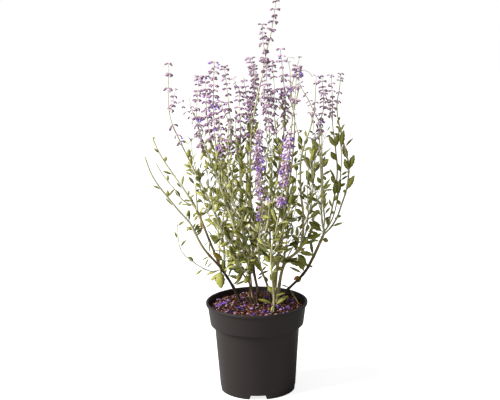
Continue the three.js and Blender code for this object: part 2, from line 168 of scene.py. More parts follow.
# Flowers: the turn between neighbours, and the ranges that their sizes are drawn from
FLOWER_FAN = 0.8
CALYX_LENGTH_RANGE = (0.85, 1.12)
CALYX_WIDTH_SHARE = 0.37
CALYX_WIDTH_RANGE = (0.85, 1.1)
CALYX_DROOP = (1.1, 1.9)
PETAL_LENGTH = (5.5, 7.5)
PETAL_WIDTH = (4.5, 6.5)
PETAL_DROOP = 0.3
PETAL_INSIDE_CALYX = 2.4

# Stems: rings, the radii of a flowering stem just below its spike, where that starts and at its
# tip, and the swellings at the foot and at leaf pairs
STEM_RING_SPACING = 5
STEM_SIDES = 8
STEM_CORNERS = 0.09
TWIG_SIDES = 6
TWIG_RINGS = 7
SPIKE_RADII = [1.5, 1.1, 0.45]
SPIKE_TAPER = 0.15
RADIUS_BELOW_SPIKE = 1.3
WOODY_FLARE = 0.5
YOUNG_FLARE = 0.1
FLARE_HEIGHT = 14
JOINT_SWELLING = 0.3
JOINT_REACH = 2.5
YOUNGEST_BARK = 0.85

# Flowers that still have petals near a height that a row names as violet
VIOLET_SHARE = 0.42
VIOLET_REACH = 4

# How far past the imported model's box a tip may reach
BOX_SHARE = 0.03
BOX_MARGIN = 8

# A row of STEMS or BRANCHES is one stem, with heights and lengths in mm:
#   route     points from its foot to its tip
#   radii     at the foot and at the tip
#   woody     height at which the bark has half turned from brown to green, or 0 where all is young
#   greening  stretch of heights over which it turns
#   youth     the bark's age mark where all of it is young
#   knot      a swelling: its height, how much thicker the stem is there, and how far it reaches
#   leafy     stretch of heights that carries leaf pairs, joint apart
#   leaf      leaf length; slim is a leaf's width as a share of that, and tint how light its green is
#   twigs     share of leaf stalks with a side twig
#   spike     length of the flower spike; whorls names its rings' heights, or else they are gap apart
#   bloom     how far a flower reaches out; full is the flowers in half a ring
#   sides     share of rings with a side spike
#   petals    share of flowers that still have petals; more have them at the heights in violet
#   tone      how light the calyces are
# USUAL is what a row has where it says nothing else, and SIDE_SHOOT what the plain leafy branches share.
USUAL = dict(
    woody=0, greening=110, youth=0.78, joint=30, gap=14, sides=0, petals=0.01, tone=0.45, violet=())
SIDE_SHOOT = dict(radii=(1, 0.6), leafy=(200, 480), leaf=25, twigs=0.45)

STEMS = {
    "left_arch": dict(
        route=[(-28, 22, 156), (-43, 20, 190), (-66, 8, 232), (-97, -18, 279), (-117, -30, 324),
            (-125, -34, 337), (-140, -42, 357), (-157, -50, 382), (-175, -60, 410), (-186, -66, 433),
            (-195, -72, 463)],
        radii=(2.5, 1.3), woody=282, greening=130),
    "left_dark": dict(
        route=[(-66, 8, 232), (-87, 25, 282), (-114, 48, 343), (-153, 62, 400), (-177, 66, 438),
            (-192, 72, 471)],
        radii=(2.2, 1.5), woody=340),
    "left_tall": dict(
        route=[(-58, 13, 218), (-59, 4, 245), (-59, 0, 269), (-62, -3, 297), (-69, -7, 327),
            (-89, -22, 380), (-130, -38, 475), (-151, -45, 537), (-149, -50, 624)],
        radii=(1.7, 0.8), woody=205, leafy=(262, 430), leaf=28, twigs=0.6, spike=50, bloom=10.6,
        full=3.4, violet=[492],
        whorls=[624, 604, 581, 512, 494, 482]),
    "left_low": dict(
        route=[(-65, 8, 231), (-73, 2, 229), (-84, -8, 231), (-98, -22, 241), (-110, -38, 254),
            (-120, -50, 266), (-130, -62, 278), (-138, -70, 297), (-140, -78, 329), (-138, -86, 362)],
        radii=(1.1, 0.8), youth=0.95),
    "left_inner": dict(
        route=[(0, -3, 158), (-12, -4, 202), (-24, -5, 223), (-33, -7, 242), (-39, -10, 266),
            (-45, -16, 300), (-40, -27, 322), (-70, -42, 421), (-94, -52, 490), (-102, -55, 530),
            (-96, -58, 603)],
        radii=(1.4, 0.8), woody=275, leafy=(250, 455), leaf=29, twigs=0.9, spike=85, bloom=9.8,
        full=3.6, sides=0.12,
        whorls=[601, 596, 587, 576, 567, 560, 544, 529, 515, 504, 489]),
    "left_pale": dict(
        route=[(29, 20, 158), (23, 22, 184), (17, 24, 203), (11, 26, 218), (7, 28, 233), (5, 32, 248),
            (1, 40, 263), (-3, 46, 278), (-17, 54, 300), (-29, 60, 319), (-56, 66, 388), (-85, 78, 482),
            (-90, 86, 583)],
        radii=(1.9, 0.8), woody=240, leafy=(245, 450), leaf=29, twigs=0.6, spike=118, bloom=11.2,
        full=4.5, violet=[579, 548],
        whorls=[579, 568, 556, 548, 533, 519, 506, 493, 480, 467, 452, 439]),
    "mid_left": dict(
        route=[(-64, -4, 307), (-56, 6, 354), (-58, 14, 386), (-66, 24, 420), (-72, 32, 462),
            (-74, 38, 508), (-74, 42, 554), (-71, 46, 616)],
        radii=(1.3, 0.7), leafy=(330, 460), leaf=23, twigs=0.6, spike=90, bloom=11.2, full=3,
        sides=0.12, violet=[612, 552, 541, 533],
        whorls=[612, 603, 595, 583, 571, 561, 552, 541, 533, 522, 508, 495, 482]),
    "middle_dark": dict(
        route=[(4, 28, 158), (1, 30, 187), (-2, 33, 201), (-5, 37, 213), (-10, 42, 226), (-15, 50, 245),
            (-20, 60, 266), (-26, 76, 294), (-28, 84, 369), (-26, 86, 463), (-27, 90, 560)],
        radii=(2.2, 0.9), woody=300, leafy=(250, 480), leaf=30, twigs=0.7, spike=90, bloom=11.2, full=3,
        whorls=[559, 549, 541, 534, 521, 507, 495, 481, 470]),
    "tall_middle": dict(
        route=[(-7, 12, 158), (-9, 12, 188), (-11, 12, 211), (-11, 11, 235), (-7, 10, 258),
            (-1, 8, 286), (-9, 2, 383), (-4, 4, 494), (13, 8, 581), (24, 10, 635), (33, 12, 669),
            (39, 13, 703), (46, 14, 745)],
        radii=(1.9, 1), woody=300, greening=1500, leafy=(250, 500), leaf=32, twigs=0.7, spike=125,
        bloom=10.6, full=3,
        whorls=[743, 724, 710, 700, 690, 675, 659, 639, 621]),
    "front_left": dict(
        route=[(26, -6, 158), (23, -8, 195), (17, -11, 213), (11, -14, 230), (7, -18, 250),
            (4, -24, 275), (6, -32, 300), (9, -42, 327), (10, -52, 353), (9, -60, 378), (8, -68, 407),
            (8, -76, 445), (8, -84, 477), (11, -98, 526)],
        radii=(1.27, 0.9), woody=232, leafy=(245, 350), leaf=33, twigs=0.7, spike=185, bloom=8.6,
        full=4.6, sides=0.12, petals=0.02, tone=0.56, violet=[480, 463, 446, 356, 346],
        whorls=[509, 504, 497, 491, 485, 480, 474, 469, 463, 458, 452, 446, 438, 429, 421, 411, 401,
            391, 382, 367, 356, 346, 339]),
    "front_right": dict(
        route=[(29, -44, 145), (32, -46, 185), (28, -56, 236), (28, -66, 284), (39, -82, 340),
            (52, -98, 422), (62, -108, 511)],
        radii=(1.3, 0.9), youth=0.66, leafy=(240, 370), leaf=33, twigs=0.7, spike=150, bloom=10.4,
        full=3.8, sides=0.05, petals=0.03, tone=0.85, violet=[499, 486, 467, 442, 435, 422, 389],
        whorls=[506, 499, 492, 486, 480, 473, 467, 461, 454, 448, 442, 435, 429, 422, 415, 389, 382,
            375]),
    "back_left": dict(
        route=[(-12, 36, 158), (-12, 38, 184), (-13, 42, 206), (-15, 48, 226), (-21, 56, 248),
            (-29, 64, 267), (-36, 74, 282), (-42, 84, 300), (-46, 106, 324), (-58, 122, 377),
            (-45, 130, 453), (-46, 134, 497), (-55, 142, 594)],
        radii=(1.9, 0.8), woody=300, leafy=(252, 440), leaf=28, twigs=0.6, spike=95, bloom=9.83, full=3,
        whorls=[590, 585, 576, 567, 559, 548, 538, 524, 511, 493, 479, 464, 448]),
    "back_middle": dict(
        route=[(3, 44, 158), (1, 48, 184), (-3, 56, 204), (-5, 68, 226), (-7, 82, 256), (-10, 104, 312),
            (-14, 118, 397), (-7, 122, 492), (3, 126, 559), (-6, 132, 609)],
        radii=(1.8, 0.8), woody=300, leafy=(255, 520), leaf=28, twigs=0.6, spike=80, bloom=11, full=3.6,
        sides=0.5,
        whorls=[607, 600, 593, 586, 577, 570, 561, 553, 543, 534, 524, 513, 500, 489, 478, 466]),
    "mid_right": dict(
        route=[(32, 27, 158), (31, 30, 191), (29, 34, 216), (28, 36, 237), (27, 37, 277), (28, 38, 328),
            (48, 38, 430), (56, 40, 496), (58, 42, 533), (56, 43, 570), (53, 45, 607), (50, 46, 636)],
        radii=(1.7, 0.8), woody=260, greening=2000, leafy=(240, 525), leaf=30, twigs=0.7, spike=105,
        bloom=11.8, full=2.3, sides=0.12, tone=0.8, violet=[623, 566, 529],
        whorls=[636, 623, 612, 603, 588, 579, 564, 557, 550, 542, 535, 527, 520, 513, 505, 492]),
    "top_right": dict(
        route=[(30, 1, 158), (36, 2, 198), (39, 0, 229), (44, -4, 261), (49, -8, 297), (58, -18, 385),
            (67, -24, 498), (73, -28, 548), (76, -31, 586), (78, -33, 613)],
        radii=(1.9, 0.8), woody=260, greening=2000, leafy=(240, 428), leaf=30, twigs=0.7, spike=95,
        bloom=12, full=3.6, sides=0.12, violet=[604, 598],
        whorls=[613, 609, 604, 598, 575, 553]),
    "right_fork": dict(
        route=[(38, 12, 158), (42, 11, 191), (45, 10, 211), (49, 10, 228), (54, 9, 241), (61, 6, 250),
            (72, 2, 259), (82, -2, 273), (87, -5, 295), (88, -8, 323), (87, -11, 350), (84, -14, 373),
            (83, -17, 396), (83, -20, 423), (84, -24, 444), (88, -28, 463), (93, -34, 481),
            (99, -38, 498), (104, -42, 517), (107, -46, 534), (109, -49, 556), (111, -52, 599)],
        radii=(3, 0.9), woody=235, greening=2000, leafy=(238, 302), leaf=28, twigs=0.6, spike=70,
        bloom=8, full=1.8, sides=0.12, violet=[599],
        whorls=[599, 585, 551, 541, 530, 519]),
    "back_right": dict(
        route=[(25, 44, 158), (32, 50, 177), (38, 60, 200), (40, 72, 224), (46, 84, 257),
            (54, 100, 301), (70, 122, 394), (78, 132, 489), (70, 136, 537), (89, 142, 609)],
        radii=(1.8, 0.8), woody=280, greening=2000, leafy=(240, 400), leaf=28, twigs=0.6, spike=70,
        bloom=8.5, full=1.4,
        whorls=[607, 589, 573, 546]),
    "right_brown": dict(
        route=[(26, 32, 156), (59, 32, 182), (90, 36, 212), (106, 40, 238), (121, 44, 269),
            (127, 46, 282), (129, 47, 291), (127, 48, 300), (125, 49, 314), (124, 51, 340),
            (125, 54, 368), (122, 60, 478), (130, 64, 528), (127, 70, 582)],
        radii=(2.3, 0.7), woody=275, greening=120, knot=(250, 0.7, 45), spike=100, bloom=9.6, full=2.6,
        sides=0.12, tone=0.55, violet=[579],
        whorls=[580, 570, 561, 554, 549, 541, 532, 525, 512, 503, 493, 483]),
    "right_inner": dict(
        route=[(128, 48, 297), (130, 42, 311), (129, 40, 325), (127, 36, 346), (126, 33, 366),
            (126, 30, 393), (125, 26, 422), (124, 20, 452), (124, 16, 475), (122, 12, 498),
            (115, 8, 514), (109, 5, 526), (99, 2, 549), (90, 0, 564), (83, -2, 580)],
        radii=(1.3, 0.7), youth=0.62, spike=95, bloom=8.6, full=1.7,
        whorls=[578, 572, 558, 545, 523, 506, 490]),
    "right_long": dict(
        route=[(129, 47, 289), (137, 52, 300), (142, 54, 321), (147, 60, 342), (152, 68, 365),
            (155, 74, 387), (156, 80, 409), (154, 86, 432), (152, 91, 455), (149, 95, 477),
            (148, 98, 497), (148, 100, 520), (148, 101, 541), (147, 102, 558), (146, 102, 577)],
        radii=(1.4, 0.7), youth=0.62, spike=100, bloom=9.8, full=2.2,
        whorls=[577, 562, 556, 548, 537, 529, 522, 516, 509, 503]),
    "right_outer": dict(
        route=[(127, 46, 283), (138, 48, 293), (146, 52, 302), (155, 57, 316), (162, 62, 335),
            (170, 66, 357), (175, 69, 378), (177, 71, 399), (176, 73, 419), (172, 74, 436),
            (168, 75, 452), (164, 76, 471), (159, 77, 491), (156, 78, 512), (156, 79, 533),
            (160, 80, 553), (162, 80, 572), (163, 80, 585)],
        radii=(1.6, 0.7), youth=0.62, spike=60, bloom=8.6, full=2.2,
        whorls=[583, 576, 570, 549, 533]),
}

# Thinner branches that fork from a stem higher up
BRANCHES = {
    "top_side": dict(
        route=[(12, 8, 578), (22, 2, 622), (18, -2, 658), (18, -4, 687)],
        radii=(0.9, 0.5), spike=85, bloom=9.83, full=3,
        whorls=[685, 679, 671, 662, 652, 638, 624]),
    "left_bud": dict(
        route=[(-96, -53, 496), (-91, -48, 501), (-102, -44, 524), (-110, -40, 538), (-115, -38, 563)],
        radii=(0.8, 0.4), spike=20, bloom=5.5, full=1, petals=0,
        whorls=[545, 540, 535]),
    "back_curl": dict(
        route=[(-45, 130, 453), (-48, 122, 489), (-58, 118, 511), (-62, 116, 528)],
        radii=(0.9, 0.5), spike=50, bloom=9.83, full=3,
        whorls=[528, 521, 513, 503]),
    "mid_a": dict(
        route=[(-66, 24, 418), (-45, 26, 434), (-47, 18, 464), (-47, 12, 504)],
        radii=(0.9, 0.5), spike=55, bloom=9.83, full=2.4),
    "mid_b": dict(
        route=[(-27, 85, 400), (-34, 66, 457), (-34, 60, 505)],
        radii=(0.9, 0.5), leafy=(380, 450), leaf=18, twigs=0.2, spike=60, bloom=9.83, full=2,
        whorls=[463, 446]),
    "top_mid": dict(
        route=[(53, 39, 462), (42, 38, 470), (37, 30, 530), (38, 26, 567), (34, 24, 619)],
        radii=(0.9, 0.5), spike=85, bloom=9.83, full=3.6, sides=0.6, violet=[550],
        whorls=[616, 606, 597, 586, 563, 548, 535, 520, 505, 488]),
    "thin_bent": dict(
        route=[(78, 132, 490), (71, 122, 549), (69, 116, 591), (64, 114, 610), (71, 112, 612),
            (78, 110, 610)],
        radii=(0.7, 0.4), youth=0.62, spike=45, bloom=6, full=1, petals=0,
        whorls=[609, 603]),
    "arch": dict(
        route=[(71, -26, 530), (80, -32, 572), (83, -36, 606), (91, -38, 607), (99, -40, 604),
            (105, -41, 596)],
        radii=(0.7, 0.4), youth=0.62, spike=40, bloom=7, full=1,
        whorls=[605, 595]),
    "left_thin": dict(
        route=[(-115, 48, 344), (-128, 44, 350), (-139, 41, 360), (-148, 38, 375), (-158, 37, 388),
            (-172, 36, 408), (-184, 34, 430)],
        radii=(1, 0.9)),
    "left_up": dict(
        route=[(-108, 44, 331), (-110, 44, 355), (-111, 42, 387)],
        radii=(1.6, 1.3)),
    "center_back": dict(
        route=[(-9, 2, 383), (-8, 30, 446), (-4, 40, 502), (-7, 44, 548)],
        radii=(1, 0.5), leafy=(390, 450), leaf=19, twigs=0.2, spike=90, bloom=10.6, full=5, sides=0.6,
        violet=[519],
        whorls=[548, 539, 532, 525, 517, 506, 493, 479, 466, 450]),
    "vee_left": dict(
        route=[(88, -28, 463), (83, -32, 479), (78, -35, 498), (73, -38, 518), (71, -40, 537)],
        radii=(0.8, 0.4), youth=0.62, spike=40, bloom=7.5, full=1.6),
    "front_mid": dict(
        route=[(7, -35, 308), (11, -52, 301), (22, -70, 339), (24, -84, 374), (24, -92, 399)],
        radii=(0.9, 0.5), leafy=(310, 370), leaf=19, twigs=0.2, spike=30, bloom=7.5, full=1.6,
        whorls=[399, 392, 382]),
    "bush_right": dict(
        SIDE_SHOOT, route=[(53, 9, 239), (54, 8, 256), (55, 5, 272), (60, -4, 297), (67, -12, 324),
            (74, -19, 352), (80, -26, 384)],
        youth=0.62, leafy=(200, 350)),
    "fork_front": dict(
        SIDE_SHOOT, route=[(84, -3, 278), (93, 0, 301), (97, -8, 336), (96, -16, 366), (95, -22, 386),
            (96, -30, 410), (97, -36, 430)],
        youth=0.62, leafy=(200, 350)),
    "fork_back": dict(
        SIDE_SHOOT, route=[(51, -10, 313), (68, 20, 358), (77, 40, 397), (77, 48, 428)],
        youth=0.62, leafy=(200, 330)),
    "left_under": dict(
        SIDE_SHOOT, route=[(-63, -3, 301), (-69, -22, 310), (-86, -40, 348), (-95, -52, 392)],
        leafy=(200, 360)),
    "left_front": dict(
        SIDE_SHOOT, route=[(-37, -9, 259), (-20, -12, 272), (-49, -40, 299), (-69, -60, 340),
            (-79, -74, 384)]),
    "tall_outer": dict(
        route=[(-89, -22, 380), (-104, -10, 413), (-113, 4, 447), (-116, 12, 479)],
        radii=(1, 0.6), leafy=(200, 480), leaf=22, twigs=0.3),
    "inner_back": dict(
        SIDE_SHOOT, route=[(-40, -27, 320), (-54, 0, 355), (-67, 20, 389), (-75, 34, 426)]),
    "middle_front": dict(
        SIDE_SHOOT, route=[(-1, 8, 286), (12, -14, 357), (20, -30, 426), (25, -38, 483)]),
    "middle_left": dict(
        SIDE_SHOOT, route=[(-7, 10, 259), (2, 10, 257), (-11, 0, 269), (-28, -30, 324), (-42, -50, 376),
            (-48, -62, 430)]),
    "brown_inner": dict(
        SIDE_SHOOT, route=[(125, 50, 325), (114, 36, 361), (106, 24, 402), (102, 16, 438)]),
    "back_fill": dict(
        SIDE_SHOOT, route=[(-5, 68, 227), (12, 72, 285), (24, 82, 340), (33, 92, 391), (30, 100, 447)]),
    "back_low": dict(
        SIDE_SHOOT, route=[(-6, 38, 216), (-34, 72, 269), (-50, 88, 315), (-55, 96, 362)]),
    "right_back": dict(
        SIDE_SHOOT, route=[(51, 10, 234), (60, 22, 250), (74, 40, 270), (94, 58, 302), (105, 68, 333),
            (109, 74, 360), (111, 78, 387), (114, 80, 417), (116, 82, 440), (115, 82, 459),
            (116, 82, 471)],
        spike=14, bloom=9, full=3, tone=0.5,
        whorls=[470, 463]),
    "mid_c": dict(
        route=[(-8, 2, 429), (25, 10, 455), (26, 4, 530), (23, 0, 615)],
        radii=(0.9, 0.5), leafy=(400, 500), leaf=18, twigs=0.3, spike=130, bloom=10.8, full=3.6,
        sides=0.6,
        whorls=[609, 602, 593, 578, 566, 552, 540, 527, 512, 497]),
    "tall_side": dict(
        route=[(-151, -45, 536), (-145, -44, 548), (-141, -44, 566), (-137, -44, 581)],
        radii=(0.6, 0.3), spike=40, bloom=8.4, full=1.4, petals=0,
        whorls=[543, 550, 557, 566, 578]),
    "left_back_thin": dict(
        route=[(-8, 122, 480), (-11, 120, 515), (-14, 118, 541), (-19, 116, 575)],
        radii=(0.9, 0.5), spike=70, bloom=9.2, full=3, sides=0.2, petals=0,
        whorls=[567, 555, 547, 536, 525]),
    "low_middle": dict(
        route=[(-18, -4, 214), (-10, 0, 222), (-22, -22, 234), (-32, -34, 246), (-40, -42, 262)],
        radii=(1, 0.5), leafy=(224, 262), leaf=24, twigs=0.3, slim=0.46, tint=0.42, joint=12),
    "bent_twig": dict(
        route=[(-150, 61, 396), (-144, 54, 410), (-137, 50, 420), (-130, 44, 415), (-116, 34, 413)],
        radii=(0.55, 0.4)),
    "upright_tan": dict(
        route=[(-68, 7, 235), (-68, 0, 264), (-68, -4, 294), (-70, -8, 325), (-73, -14, 347)],
        radii=(1, 0.8), woody=250),
    "right_twin": dict(
        route=[(129, 47, 290), (138, 50, 300), (147, 56, 317), (153, 62, 337), (157, 66, 359),
            (161, 69, 388), (163, 71, 414), (163, 72, 441), (161, 71, 460), (158, 70, 479)],
        radii=(1.2, 0.7), youth=0.62),
    "right_cross": dict(
        route=[(148, 97, 492), (142, 86, 517), (137, 76, 537), (132, 66, 554)],
        radii=(0.7, 0.4), youth=0.62),
    "left_violet": dict(
        route=[(-61, 18, 399), (-60, 20, 436), (-60, 24, 473), (-63, 26, 500), (-67, 28, 524)],
        radii=(0.9, 0.5), spike=70, bloom=9.6, full=3.2, violet=[494],
        whorls=[522, 513, 504, 495, 482, 473, 463, 456, 447]),
    "inner_low": dict(
        route=[(-85, -49, 465), (-94, -44, 471), (-99, -47, 483), (-101, -50, 498)],
        radii=(0.7, 0.4), spike=22, bloom=10, full=3.6,
        whorls=[498, 494, 479, 469]),
    "inner_side": dict(
        route=[(-102, -55, 520), (-92, -60, 532), (-84, -62, 545), (-79, -63, 556)],
        radii=(0.6, 0.35), spike=30, bloom=8, full=1.6, violet=[530, 547],
        whorls=[530, 539, 547, 554]),
}

